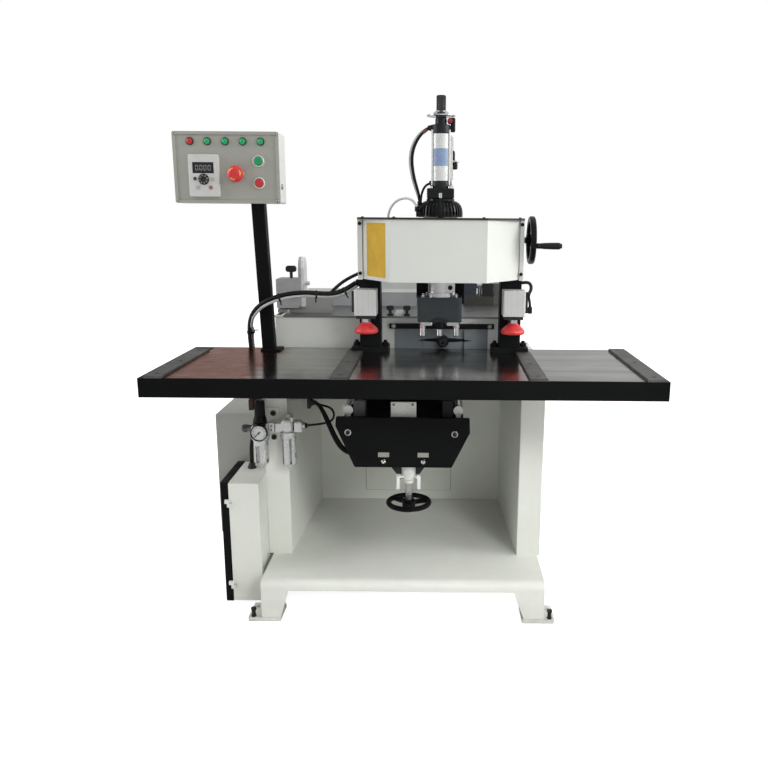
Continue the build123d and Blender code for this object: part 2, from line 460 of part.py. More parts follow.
# ---- mortising unit -----------------------------------------------------
knee = prism_xz([(-178, 569), (-179, 546), (-133, 439), (113, 439), (158, 530), (157, 567)], 166, 178)
knee = fillet(knee.edges().filter_by(Axis.Y), 3)
for x, z in ((-148, 530), (120, 527)):
    knee += turned_y(x, z, [(2.6, 158), (4.8, 158), (5.3, 159), (5.3, 164.3), (8.3, 164.3), (8.3, 166.5), (0, 166.5), (0, 161), (2.6, 161)])
for x in (-59, 41):
    knee += turned_y(x, 455, [(0, 154), (2.5, 154), (3.2, 156), (2.6, 158.5), (5.5, 161), (6.5, 166.5), (0, 166.5)])
beam = bx(-110, 90, 178, 797.5, 440, 528) - bx(-102, 82, 186, 790, 448, 520)
beam += prism_xz([(-50.5, 441), (-28, 411), (31, 411), (51.5, 441)], 196, 232) - cyl_z(LIFT_X, LIFT_Y, 400, 440, 20.3)
beam -= cyl_z(LIFT_X, LIFT_Y, 400, 560, 8.05)
PINS = ((-80, 300), (60, 300), (-80, 650), (60, 650))
for x, y in PINS:
    beam += cyl_z(x, y, 500, 521, 20)
    beam -= cyl_z(x, y, 490, 540, 12.05)
LEV = (LIFT_Y - 13.0, 404.0)
lockc = turned_z(LIFT_X, LIFT_Y, [(8.05, 386), (12.6, 386), (13.2, 387), (13.2, 394), (19.5, 398.5), (19.5, 440), (8.05, 440)])
lockc -= cyl_x(-40, 40, LEV[0], LEV[1], 3.55)
node("knee_frame", knee, beam, lockc)

lift = cyl_z(LIFT_X, LIFT_Y, 318, 554, 8.0) + cyl_z(LIFT_X, LIFT_Y, 334, 384, 8.8) + turned_z(LIFT_X, LIFT_Y, [(0, 318), (15, 318), (17, 321), (17, 337), (13, 341), (0, 341)])
lift += Pos(LIFT_X, LIFT_Y, 331) * Torus(52.5, 6.8)
for i in range(3):
    a = 120 * i + 20
    lift += Pos(LIFT_X, LIFT_Y, 330) * Rot(0, 0, a) * bx(10, 51, -7, 7, -4, 4)
node("lift_screw", lift)

lev = cyl_x(LIFT_X - 30, LIFT_X + 30, LEV[0], LEV[1], 3.5)
for s in (-1, 1):
    a, b = sorted((LIFT_X + s * 22.2, LIFT_X + s * 31.0))
    arm = bx(a, b, LEV[0] - 5, LEV[0] + 5, 371, LEV[1] + 7)
    lev += fillet(arm.edges().filter_by(Axis.X), 3)
    a, b = sorted((LIFT_X + s * 19.8, LIFT_X + s * 25.0))
    lev += bx(a, b, LEV[0] - 4, LEV[0] + 4, LEV[1] - 1, LEV[1] + 5)
    c, d = sorted((LIFT_X + s * 19.7, LIFT_X + s * 24))
    lev += cyl_x(c, d, LEV[0], LEV[1], 6.2)
node("lock_levers", lev)

lc = bx(-163, 143, 186, 785, 540, 556)
for x in (RAIL_X0, RAIL_X1):
    lc += bx(x - 13, x + 13, 188, 780, 555, 562) + bx(x - 6, x + 6, 188, 780, 561, 575) + cyl_y(x, 188, 780, RAIL_Z, 12.5)
lc += bx(-41, 23, 182, 187, 540, 605)
lc += bx(-136, -107, 192, 240, 555, 606) + bx(89, 116, 192, 240, 555, 606)
lc -= cyl_z(LIFT_X, LIFT_Y, 530, 570, 8.05)
for x, y in PINS:
    lc += cyl_z(x, y, 462, 541, 12.0)
node("lift_carriage", lc)

sad = bx(-185, 205, 470, 770, 612, 626)
for x in (RAIL_X0, RAIL_X1):
    for y0 in (490, 690):
        blk = bx(x - 25, x + 25, y0, y0 + 60, 566, 613)
        blk -= cyl_y(x, y0 - 5, y0 + 65, RAIL_Z, 12.55)
        blk -= bx(x - 7.5, x + 7.5, y0 - 5, y0 + 65, 560, 580)
        sad += blk
for y in (590, 715):
    sad += bx(-100, 203, y - 8, y + 8, 625, 642)
sad += bx(-110, 100, 465, 471, 572, 640)
node("feed_saddle", sad)

mx, mz = MORT_X, MORT_Z
tr = bx(14, 164, 562, 745, 642.4, 652)
for y in (590, 715):
    for x0 in (30, 110):
        tr += bx(x0, x0 + 40, y - 17, y + 17, 630, 645) - bx(x0 - 1, x0 + 41, y - 8.4, y + 8.4, 620, 642.4)
tr += bx(mx - 30, mx + 30, 575, 735, 650, 690)
mprof = [(8.05, 453), (14.0, 453), (15.5, 455), (15.5, 562), (38, 562), (44, 566), (48, 570)]
for i in range(12):
    y = 576 + 12 * i
    mprof += [(48, y), (44.5, y), (44.5, y + 6), (48, y + 6)]
mprof += [(48, 735), (44, 742), (8.05, 742)]
tr += turned_y(mx, mz, mprof)
tr -= cyl_y(mx, 440, 760, mz, 8.05)
node("traverse_slide", tr)

sp = turned_y(mx, mz, [(6.0, 430), (11.8, 430), (15.5, 435), (15.5, 450), (14.2, 452.3), (8.0, 452.3), (8.0, 700), (0, 700), (0, 462), (6.0, 462)])
for i in range(6):
    sp -= Pos(mx, 0, mz) * Rot(0, 60 * i, 0) * bx(14.4, 17, 437, 449, -2.2, 2.2)
node("mortise_spindle", sp)

cur = bx(-45, 215, 444, 448, 678, 768) - bx(mx - 60, mx + 60, 440, 452, 694, 747)
bar = bx(-60, 232, 437, 444, 754, 768)
for x in (-49, 220):
    bar += turned_y(x, 761, [(0, 433), (3, 433), (5.5, 434.5), (5.5, 437.5), (0, 437.5)])
node("dust_curtain", cur, bar)
node("curtain_lip", bx(mx - 104, mx + 104, 453, 456, 680, 751) - cyl_y(mx, 440, 470, mz, 17.5))

bed = bx(BED_X0, BED_X1, BED_Y0, BED_Y1, COL_TOP, BED_Z1)
bed -= bx(BED_X0 + 4, BED_X1 - 4, BED_Y0 + 4, BED_Y1 - 4, COL_TOP - 1, BED_Z1 + 1)
bed -= bx(-40, 210, BED_Y0 - 5, BED_Y0 + 6, 672, 765)
bed -= bx(-60, 230, BED_Y1 - 10, BED_Y1 + 5, COL_TOP - 1, 765)
bedtop = fillet(vertical_edges(bx(BED_X0 - 3, BED_X1 + 3, BED_Y0 - 2, BED_Y1 + 2, BED_Z1, BED_Z1 + 5)), 3)
node("rear_bed", bed, bedtop)

BT = BED_Z1 + 5
rail = bx(-396 + 10, -230, 512, 548, BT, BT + 10) + bx(-386, -230, 524, 536, BT + 9, BT + 44)
guard = bx(-345, 8, 700, 704, BT, 830) + bx(-345, 8, 700, 818, 826, 830) + bx(-345, 8, 814, 818, BT, 830) + bx(-108, 8, 814, 818, 829, 857)
gearm = fillet(bx(154, 252, 725, 805, BT, 817).edges().filter_by(Axis.Y), 3)
gearm += fillet(bx(154, 196, 727, 800, 815, 858).edges().filter_by(Axis.Y), 4) + fillet(bx(213, 247, 727, 800, 815, 857).edges().filter_by(Axis.Y), 3)
gearm += cyl_z(204.5, 742, 815, 846, 6) + cyl_x(195, 214, 742, 848, 7)
gearm += bx(250.5, 268, 732, 790, BT, 856)
stops = bx(-46, -26, 450, 540, BT, BT + 8)
thumbs = []
for x, y in ((-59.5, 470), (-12.5, 470)):
    t = cyl_z(x, y, BT, BT + 20, 4.5) + fillet(bx(x - 10.5, x + 10.5, y - 5, y + 5, BT + 15, BT + 28).edges().filter_by(Axis.Y), 5)
    t += cyl_z(x, y, BT, BT + 5, 9)
    thumbs.append(t)
node("bed_fittings", rail, guard, gearm, stops, *thumbs)

blk = fillet(bx(-386, -322, 500, 560, BT + 46, 885).edges().filter_by(Axis.Y), 5)
blk += bx(-386, -322, 504, 523.2, BT + 14, BT + 48) + bx(-386, -322, 536.8, 556, BT + 14, BT + 48)
up = prism_yz([(500, 806), (560, 806), (560, 915), (552, 935), (538, 945), (522, 945), (508, 935), (500, 915)], -322, -306)
up = fillet(up.edges().filter_by(lambda e: e.center().X > -307 and e.center().Z > 860), 4)
up -= bx(-330, -300, 523.2, 536.8, 800, BT + 46)
blk += up
blk += cyl_x(-307, -292, 512, 872, 6)
blk += cyl_z(-347, 530, 884, 906, 4.5)
tk = fillet(bx(-362, -332, 522, 538, 902, 920).edges().filter_by(Axis.Y), 7)
tk = fillet(tk.edges().filter_by(Axis.Y, reverse=True), 3)
node("door_stop", blk + tk)

# ---- cords --------------------------------------------------------------
def cord(name, pts, dia):
    pts = [Vector(*p) for p in pts]
    radii, turns = [], []
    for a, b, c in zip(pts, pts[1:], pts[2:]):
        u, v = b - a, c - b
        turn = u.get_angle(v)
        radii.append(0.45 * min(u.length, v.length) / math.tan(math.radians(turn) / 2))
        turns.append(turn)
    path = FilletPolyline(*pts, radius=radii)
    start = Plane(origin=path @ 0, z_dir=path % 0)
    tube = sweep(start * Circle(dia / 2), path=path, transition=Transition.RIGHT)
    ideal = math.pi * dia * dia / 4 * path.length
    print(f"{name}: length {path.length:.1f}, tightest radius {min(radii):.1f} ({min(radii) / dia:.1f} dia), largest turn {max(turns):.0f}, longest run {max((b - a).length for a, b in zip(pts, pts[1:])):.0f}, volume ratio {tube.volume / ideal:.4f}")
    node(name, tube)


MAIN = [(-455, 500, 520), (-455, 499, 552), (-455.5, 494, 592), (-456, 484, 635), (-456, 470, 677), (-454, 451, 717), (-448, 424, 753), (-436, 391, 784), (-417, 361, 811), (-389, 345, 834), (-354, 341, 850), (-315, 346, 859), (-275, 357, 861), (-238, 368, 857), (-206, 379, 856), (-176, 391, 865), (-148, 402, 884)]
cord("main_cable", MAIN, 12.0)
HOSE = [(26, 346, 1098), (23.5, 346, 1114), (18, 345, 1134), (12, 343, 1155), (8, 341, 1177), (6, 339, 1198), (8, 338, 1219), (14.5, 337, 1239), (24.5, 336, 1256), (36.5, 336, 1269), (48.5, 336, 1277)]
cord("head_hose", HOSE, 8.0)
TUBE = [(-56, 348, 1040), (-56, 348, 1056), (-53, 346, 1073), (-44, 342, 1089), (-30, 337, 1101), (-12, 331, 1106), (4, 326, 1103), (14, 323, 1094), (19, 322, 1084)]
SUPPLY = [(-286, 323, 503), (-270, 323.4, 504.2), (-254, 323.9, 506), (-238.5, 324.4, 508.4), (-224, 324.9, 511.4), (-213.9, 325.3, 515.2), (-206.8, 325.7, 523), (-204.2, 326.1, 533.3), (-206.6, 326.6, 543.6), (-213.3, 327.1, 551.8), (-223.1, 327.8, 556.1), (-235.5, 328.6, 558.6), (-246.5, 329.4, 561.6), (-256, 330, 565)]
KNEE_A = [(-256, 300.5, 577), (-244.5, 295, 572), (-233.5, 286, 560.5), (-225, 278, 546), (-217, 271.2, 529.5), (-209, 265.2, 513.5), (-201, 259.6, 497.5), (-191, 253.4, 479.5), (-179, 247.4, 464), (-164, 242.4, 454), (-146, 239.2, 449), (-128, 237.6, 447.2), (-110, 237, 447)]
KNEE_B = [(-256, 314.5, 573), (-244.5, 309.5, 568.5), (-233, 301.2, 557.5), (-223, 293.2, 543.5), (-214, 286.6, 527.5), (-206, 281.2, 511.5), (-198, 276.2, 496), (-188, 270.6, 478.5), (-176, 264.8, 462.5), (-161.5, 260, 452), (-145, 257.2, 447), (-128, 256, 445.8), (-110, 255.5, 445.5)]
CAB = [(-452, 398, 372), (-452, 398.2, 390), (-451.9, 399.2, 408), (-451.5, 402, 423.5), (-450.6, 407, 436.5), (-449.2, 414.8, 446.8), (-447.4, 424.6, 454.2), (-445.2, 436, 458.8), (-443, 448, 460.5)]
cord("head_air_tube", TUBE, 6.0)
cord("air_supply_hose", SUPPLY, 6.0)
cord("knee_hose_front", KNEE_A, 8.0)
cord("knee_hose_rear", KNEE_B, 8.0)
cord("cabinet_cable", CAB, 11.0)

# ---- write --------------------------------------------------------------
os.makedirs("parts", exist_ok=True)
for name, shapes in NODES.items():
    solids = []
    for s in shapes:
        solids += list(s.solids())
    moved = [Pos(SHIFT_X, SHIFT_Y, 0) * s for s in solids]
    out = moved[0] if len(moved) == 1 else Compound(children=moved)
    out.label = name
    export_step(out, f"parts/{name}.step")
print(len(NODES), "nodes")
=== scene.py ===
import bpy
import bmesh
import math
from mathutils import Matrix, Vector


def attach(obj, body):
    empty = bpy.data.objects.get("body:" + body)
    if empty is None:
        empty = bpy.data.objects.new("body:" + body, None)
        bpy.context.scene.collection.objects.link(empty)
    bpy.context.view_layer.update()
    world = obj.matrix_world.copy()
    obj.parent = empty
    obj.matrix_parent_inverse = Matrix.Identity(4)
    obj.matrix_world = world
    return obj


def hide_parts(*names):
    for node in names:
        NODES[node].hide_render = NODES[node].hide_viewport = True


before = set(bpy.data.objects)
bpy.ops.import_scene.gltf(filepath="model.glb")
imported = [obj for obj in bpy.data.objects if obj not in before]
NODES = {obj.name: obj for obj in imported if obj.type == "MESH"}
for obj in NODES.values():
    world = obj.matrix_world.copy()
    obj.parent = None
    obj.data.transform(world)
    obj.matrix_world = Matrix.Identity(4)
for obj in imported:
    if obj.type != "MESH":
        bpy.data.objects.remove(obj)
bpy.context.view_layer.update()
scene = bpy.context.scene

# Lengths below are millimetres, laid out from the table's front edge. mm() gives frame metres.
YS = 424.0


def mm(x, y, z):
    return Vector((x / 1000.0, (y - YS) / 1000.0, z / 1000.0))


# ------------------------------------------------------------------ materials
class Mat:
    """A principled material with short helpers for its node graph."""

    def __init__(self, name):
        self.m = bpy.data.materials.new(name)
        self.m.use_nodes = True
        self.t = self.m.node_tree
        self.t.nodes.clear()
        self.out = self.t.nodes.new("ShaderNodeOutputMaterial")
        self.b = self.t.nodes.new("ShaderNodeBsdfPrincipled")
        self.t.links.new(self.b.outputs[0], self.out.inputs[0])
        self.co = self.t.nodes.new("ShaderNodeTexCoord").outputs["Object"]
        self._xyz = None

    def put(self, sock, v):
        if isinstance(v, bpy.types.NodeSocket):
            self.t.links.new(v, sock)
        elif isinstance(v, (tuple, list)) and len(v) == 3 and sock.type == "RGBA":
            sock.default_value = (v[0], v[1], v[2], 1.0)
        else:
            sock.default_value = v

    def math(self, op, a, b=None, c=None, clamp=False):
        n = self.t.nodes.new("ShaderNodeMath")
        n.operation = op
        n.use_clamp = clamp
        self.put(n.inputs[0], a)
        if b is not None:
            self.put(n.inputs[1], b)
        if c is not None:
            self.put(n.inputs[2], c)
        return n.outputs[0]

    def vec(self, op, a, b=None):
        n = self.t.nodes.new("ShaderNodeVectorMath")
        n.operation = op
        self.put(n.inputs[0], a)
        if b is not None:
            self.put(n.inputs[1], b)
        return n.outputs["Value"] if op in ("LENGTH", "DOT_PRODUCT", "DISTANCE") else n.outputs[0]

    def xyz(self):
        if self._xyz is None:
            n = self.t.nodes.new("ShaderNodeSeparateXYZ")
            self.put(n.inputs[0], self.co)
            self._xyz = n.outputs
        return self._xyz

    def stretch(self, sx, sy, sz):
        return self.vec("MULTIPLY", self.co, (sx, sy, sz))

    def noise(self, scale, detail=3.0, rough=0.55, vec=None, dist=0.0):
        n = self.t.nodes.new("ShaderNodeTexNoise")
        self.put(n.inputs["Vector"], vec if vec is not None else self.co)
        n.inputs["Scale"].default_value = scale
        n.inputs["Detail"].default_value = detail
        n.inputs["Roughness"].default_value = rough
        n.inputs["Distortion"].default_value = dist
        return n.outputs["Fac"]

    def cells(self, scale, vec=None):
        n = self.t.nodes.new("ShaderNodeTexVoronoi")
        self.put(n.inputs["Vector"], vec if vec is not None else self.co)
        n.inputs["Scale"].default_value = scale
        return n.outputs["Distance"]

    def span(self, v, a, b, lo=0.0, hi=1.0):
        n = self.t.nodes.new("ShaderNodeMapRange")
        self.put(n.inputs["Value"], v)
        n.inputs["From Min"].default_value = a
        n.inputs["From Max"].default_value = b
        n.inputs["To Min"].default_value = lo
        n.inputs["To Max"].default_value = hi
        return n.outputs[0]

    def mix(self, f, a, b):
        n = self.t.nodes.new("ShaderNodeMix")
        n.data_type = "RGBA"
        self.put(n.inputs[0], f)
        self.put(n.inputs[6], a)
        self.put(n.inputs[7], b)
        return n.outputs[2]

    def times(self, col, f):
        n = self.t.nodes.new("ShaderNodeMix")
        n.data_type = "RGBA"
        n.blend_type = "MULTIPLY"
        n.inputs[0].default_value = 1.0
        self.put(n.inputs[6], col)
        self.put(n.inputs[7], f)
        return n.outputs[2]

    def mixf(self, f, a, b):
        n = self.t.nodes.new("ShaderNodeMix")
        n.data_type = "FLOAT"
        self.put(n.inputs[0], f)
        self.put(n.inputs[2], a)
        self.put(n.inputs[3], b)
        return n.outputs[0]

    def bump(self, height, strength, dist=0.001, normal=None):
        n = self.t.nodes.new("ShaderNodeBump")
        n.inputs["Strength"].default_value = strength
        n.inputs["Distance"].default_value = dist
        self.put(n.inputs["Height"], height)
        if normal is not None:
            self.put(n.inputs["Normal"], normal)
        return n.outputs[0]

    def round_edges(self, radius):
        n = self.t.nodes.new("ShaderNodeBevel")
        n.samples = 4
        n.inputs["Radius"].default_value = radius
        return n.outputs[0]

    def edge_mask(self, rounded, a=0.02, b=0.25):
        g = self.t.nodes.new("ShaderNodeNewGeometry")
        d = self.vec("DOT_PRODUCT", rounded, g.outputs["True Normal"])
        return self.span(self.math("SUBTRACT", 1.0, d), a, b)

    # masks by place on the object, in layout millimetres
    def box(self, x0=None, x1=None, y0=None, y1=None, z0=None, z1=None):
        x, y, z = self.xyz()[0], self.xyz()[1], self.xyz()[2]
        parts = []
        for s, lo, hi, off in ((x, x0, x1, 0.0), (y, y0, y1, YS), (z, z0, z1, 0.0)):
            if lo is not None:
                parts.append(self.math("GREATER_THAN", s, (lo - off) / 1000.0))
            if hi is not None:
                parts.append(self.math("LESS_THAN", s, (hi - off) / 1000.0))
        m = parts[0]
        for p in parts[1:]:
            m = self.math("MULTIPLY", m, p)
        return m

    def radius(self, axis, a, b):
        """distance in metres from a line along axis; (a, b) are the other two coordinates in mm"""
        if axis == "x":
            c, k = (0.0, (a - YS) / 1000.0, b / 1000.0), (0.0, 1.0, 1.0)
        elif axis == "y":
            c, k = (a / 1000.0, 0.0, b / 1000.0), (1.0, 0.0, 1.0)
        else:
            c, k = (a / 1000.0, (b - YS) / 1000.0, 0.0), (1.0, 1.0, 0.0)
        return self.vec("LENGTH", self.vec("MULTIPLY", self.vec("SUBTRACT", self.co, c), k))

    def disc(self, axis, a, b, r):
        return self.math("LESS_THAN", self.radius(axis, a, b), r / 1000.0)

    def both(self, *ms):
        m = ms[0]
        for p in ms[1:]:
            m = self.math("MULTIPLY", m, p)
        return m

    def either(self, *ms):
        m = ms[0]
        for p in ms[1:]:
            m = self.math("MAXIMUM", m, p)
        return m

    def no(self, m):
        return self.math("SUBTRACT", 1.0, m)


def finish_mat(g, col, rough, metal, tone=0.05, tone_scale=5.0, grit=0.0, grit_scale=160.0,
               peel=0.0, peel_scale=700.0, edge=0.0, edge_col=(0.5, 0.5, 0.5), radius=0.0,
               rough_var=0.06, brush=None, brush_amt=0.0, dust=0.0, dust_z=None, spec=None):
    """Puts tone changes, grit, edge wear, roughness changes and bump on a colour."""
    if tone > 0:
        a = g.noise(tone_scale, 4.0, 0.6)
        col = g.times(col, g.mix(g.span(a, 0.3, 0.7), (1 - tone,) * 3, (1 + tone * 0.4,) * 3))
    if grit > 0:
        a = g.noise(grit_scale, 3.0, 0.7)
        col = g.times(col, g.mix(g.span(a, 0.35, 0.75), (1 + grit * 0.3,) * 3, (1 - grit,) * 3))
    normal = None
    if radius > 0:
        normal = g.round_edges(radius / 1000.0)
        if edge > 0:
            wear = g.math("MULTIPLY", g.edge_mask(normal), g.span(g.noise(45.0, 4.0, 0.7), 0.4, 0.65, 0.0, edge))
            col = g.mix(wear, col, edge_col)
    if dust > 0:
        z = g.xyz()[2]
        low = g.span(z, dust_z[0] / 1000.0, dust_z[1] / 1000.0, 1.0, 0.0)
        f = g.math("MULTIPLY", low, g.span(g.noise(9.0, 5.0, 0.65), 0.35, 0.75, 0.0, dust))
        col = g.mix(f, col, (0.36, 0.34, 0.30))
    g.put(g.b.inputs["Base Color"], col)
    g.put(g.b.inputs["Metallic"], metal)
    if spec is not None:
        g.b.inputs["Specular IOR Level"].default_value = spec
    if rough_var > 0:
        a = g.noise(22.0, 4.0, 0.6)
        spread = g.span(a, 0.3, 0.7, -rough_var, rough_var)
        g.put(g.b.inputs["Roughness"], g.math("ADD", spread, rough, clamp=True))
    else:
        g.put(g.b.inputs["Roughness"], rough)
    h = None
    if peel > 0:
        h = g.bump(g.noise(peel_scale, 2.0, 0.5), peel, 0.0006, normal)
    if brush is not None and brush_amt > 0:
        h = g.bump(g.noise(60.0, 4.0, 0.7, g.stretch(*brush)), brush_amt, 0.0004, h if h is not None else normal)
    if h is None:
        h = normal
    if h is not None:
        g.put(g.b.inputs["Normal"], h)
    return g.m


def zones(name, base, *layers, **kw):
    """base = (colour, roughness, metallic); each layer is (mask function, colour, roughness, metallic)."""
    g = Mat(name)
    col, rough, metal = base
    for mask, c, r, k in layers:
        f = mask(g)
        col = g.mix(f, col, c)
        if r != rough:
            rough = g.mixf(f, rough, r)
        if k != metal:
            metal = g.mixf(f, metal, k)
    return finish_mat(g, col, rough, metal, **kw)


def plain(name, col, rough, metal=0.0, **kw):
    return finish_mat(Mat(name), col, rough, metal, **kw)


PALE = (0.765, 0.780, 0.715)
WHITE = (0.795, 0.81, 0.765)
BLACK = (0.0068, 0.0072, 0.0078)
CHROME = (0.72, 0.72, 0.73)
STEEL = (0.46, 0.46, 0.455)

PAINT = dict(tone=0.06, tone_scale=3.5, grit=0.02, grit_scale=240.0, peel=0.10, peel_scale=520.0,
             radius=1.6, edge=0.25, edge_col=(0.55, 0.54, 0.50), rough_var=0.07)
BLACKP = dict(tone=0.25, tone_scale=9.0, grit=0.15, grit_scale=300.0, peel=0.12, peel_scale=600.0,
              radius=1.2, edge=0.45, edge_col=(0.045, 0.043, 0.041), rough_var=0.08, spec=0.08)

mat_pale = plain("pale_enamel", PALE, 0.42, dust=0.35, dust_z=(0.0, 150.0), **PAINT)
mat_foot = zones("foot_plate", ((0.70, 0.70, 0.66), 0.45, 0.0), tone=0.15, tone_scale=14.0, grit=0.12, grit_scale=120.0,
                 radius=1.2, edge=0.7, edge_col=(0.30, 0.28, 0.26), dust=0.5, dust_z=(0.0, 14.0), peel=0.1)
mat_black = plain("black_enamel", BLACK, 0.36, **BLACKP)
mat_bolt = plain("black_oxide", (0.010, 0.010, 0.011), 0.34, 0.0, tone=0.3, tone_scale=60.0, radius=0.5, edge=0.5,
                 edge_col=(0.10, 0.10, 0.10), spec=0.25)
mat_chrome = plain("bright_chrome", CHROME, 0.12, 1.0, tone=0.06, tone_scale=30.0, rough_var=0.05, radius=0.4)
mat_steel = plain("turned_steel", STEEL, 0.27, 1.0, tone=0.14, tone_scale=40.0, rough_var=0.08, radius=0.5,
                  brush=(1.0, 1.0, 14.0), brush_amt=0.25)
mat_darksteel = plain("dark_steel", (0.15, 0.152, 0.155), 0.33, 0.9, tone=0.2, tone_scale=25.0, radius=0.5)
mat_alu = plain("cast_alloy", (0.70, 0.70, 0.68), 0.36, 0.55, tone=0.08, tone_scale=45.0, grit=0.08, grit_scale=400.0,
                peel=0.18, peel_scale=900.0, radius=0.8)
mat_blackplastic = plain("black_plastic", (0.011, 0.011, 0.012), 0.38, 0.0, tone=0.15, tone_scale=40.0, peel=0.12,
                         peel_scale=1100.0, radius=0.6, spec=0.25)
mat_gloss = plain("gloss_black", (0.006, 0.0064, 0.007), 0.16, 0.0, tone=0.2, tone_scale=30.0, rough_var=0.06,
                  peel=0.05, peel_scale=300.0, radius=1.0, spec=0.3)
mat_cable = plain("cable_sheath", (0.008, 0.008, 0.009), 0.40, 0.0, tone=0.2, tone_scale=60.0, grit=0.1, grit_scale=500.0,
                  peel=0.15, peel_scale=900.0, spec=0.22)
mat_greycable = plain("grey_sheath", (0.52, 0.53, 0.52), 0.42, 0.0, tone=0.08, tone_scale=40.0, peel=0.15, peel_scale=900.0)
mat_whitetube = plain("white_tube", (0.78, 0.79, 0.75), 0.32, 0.0, tone=0.06, tone_scale=50.0, peel=0.05)
mat_red = plain("red_enamel", (0.42, 0.02, 0.02), 0.30, 0.0, tone=0.1, tone_scale=60.0)
mat_white = plain("white_enamel", WHITE, 0.40, **PAINT)
mat_guard = plain("guard_metal", (0.60, 0.605, 0.59), 0.30, 0.65, tone=0.10, tone_scale=60.0, grit=0.05, grit_scale=500.0,
                  rough_var=0.08, radius=0.4)
mat_cast = plain("pressure_cast", (0.74, 0.745, 0.725), 0.34, 0.25, tone=0.08, tone_scale=55.0, grit=0.10, grit_scale=420.0,
                 peel=0.2, peel_scale=1000.0, radius=0.7)
mat_dial = plain("dial_face", (0.80, 0.80, 0.785), 0.35, 0.0, tone=0.05, tone_scale=80.0)
mat_mark = plain("dial_marks", (0.10, 0.10, 0.105), 0.4, 0.0, tone=0.1, tone_scale=120.0)
mat_digit = plain("digit_grey", (0.30, 0.305, 0.315), 0.3, 0.0, tone=0.15, tone_scale=200.0)
mat_blue = plain("blue_band", (0.28, 0.385, 0.585), 0.34, 0.0, tone=0.10, tone_scale=90.0, grit=0.10, grit_scale=600.0)
mat_barrel = plain("barrel_anodised", (0.79, 0.80, 0.785), 0.30, 0.15, tone=0.05, tone_scale=30.0, rough_var=0.06,
                   brush=(1.0, 1.0, 10.0), brush_amt=0.12)
mat_capgrey = plain("cap_graphite", (0.015, 0.019, 0.021), 0.36, 0.1, tone=0.15, tone_scale=60.0, peel=0.15, peel_scale=900.0,
                    radius=0.8, spec=0.3)
mat_yellow = plain("yellow_plate", (0.76, 0.465, 0.036), 0.36, 0.0, tone=0.14, tone_scale=26.0, grit=0.16, grit_scale=300.0,
                   rough_var=0.08, radius=0.3)
mat_blank = plain("blank_tag", (0.36, 0.345, 0.315), 0.42, 0.30, tone=0.10, tone_scale=80.0, grit=0.12, grit_scale=700.0, radius=0.3)
mat_oxide = plain("oxide_primer", (0.085, 0.036, 0.024), 0.62, 0.0, tone=0.3, tone_scale=40.0, grit=0.3, grit_scale=260.0, spec=0.2)
mat_sleeve = plain("red_sleeve", (0.20, 0.050, 0.042), 0.45, 0.0, tone=0.12, tone_scale=60.0, peel=0.1)
mat_zinc = plain("zinc_plate", (0.40, 0.39, 0.36), 0.34, 0.85, tone=0.15, tone_scale=80.0, radius=0.3)


def clear_plastic():
    g = Mat("clear_bowl")
    n = g.noise(40.0, 3.0, 0.6)
    g.put(g.b.inputs["Base Color"], g.mix(g.span(n, 0.3, 0.7), (0.86, 0.88, 0.86), (0.95, 0.96, 0.95)))
    g.b.inputs["Transmission Weight"].default_value = 0.85
    g.b.inputs["IOR"].default_value = 1.45
    g.put(g.b.inputs["Roughness"], g.span(g.noise(120.0, 3.0, 0.6), 0.3, 0.7, 0.06, 0.16))
    return g.m


mat_clear = clear_plastic()


def dress(node, mat):
    obj = NODES[node]
    if not obj.material_slots:
        obj.data.materials.append(mat)
    for s in obj.material_slots:
        s.material = mat


# ---- stand
for n in ("base_tray", "left_column", "right_column"):
    dress(n, mat_pale)
dress("electrical_cabinet", zones("cabinet_enamel", (PALE, 0.42, 0.0),
      (lambda g: g.box(z0=356.1), (0.013, 0.013, 0.014), 0.35, 0.0), dust=0.35, dust_z=(0.0, 150.0), **PAINT))


# a dark outline round the raised hatch: painted shade along its edge
def hatch_edge_shade(g):
    return g.both(g.box(x0=-167.2, x1=123.2, z0=144.8, z1=331.2, y1=803.5), g.no(g.box(x0=-165.4, x1=121.4, z0=146.6, z1=329.4)))


dress("rear_panel", zones("rear_enamel", (PALE, 0.42, 0.0), (hatch_edge_shade, (0.30, 0.30, 0.275), 0.6, 0.0), **PAINT))
dress("foot_plates", mat_foot)
dress("levelling_bolts", mat_bolt)
dress("table_frame", zones("table_rail", ((0.0052, 0.0055, 0.0058), 0.45, 0.0),
      (lambda g: g.box(x0=300, y1=0.6, z1=656.6), (0.075, 0.024, 0.017), 0.6, 0.0),
      tone=0.25, tone_scale=7.0, grit=0.2, grit_scale=260.0, peel=0.16, peel_scale=420.0, radius=1.2, edge=0.6,
      edge_col=(0.055, 0.030, 0.022), rough_var=0.08, spec=0.07))
dress("inverter_box", plain("grey_enamel", (0.385, 0.39, 0.365), 0.50, **PAINT))


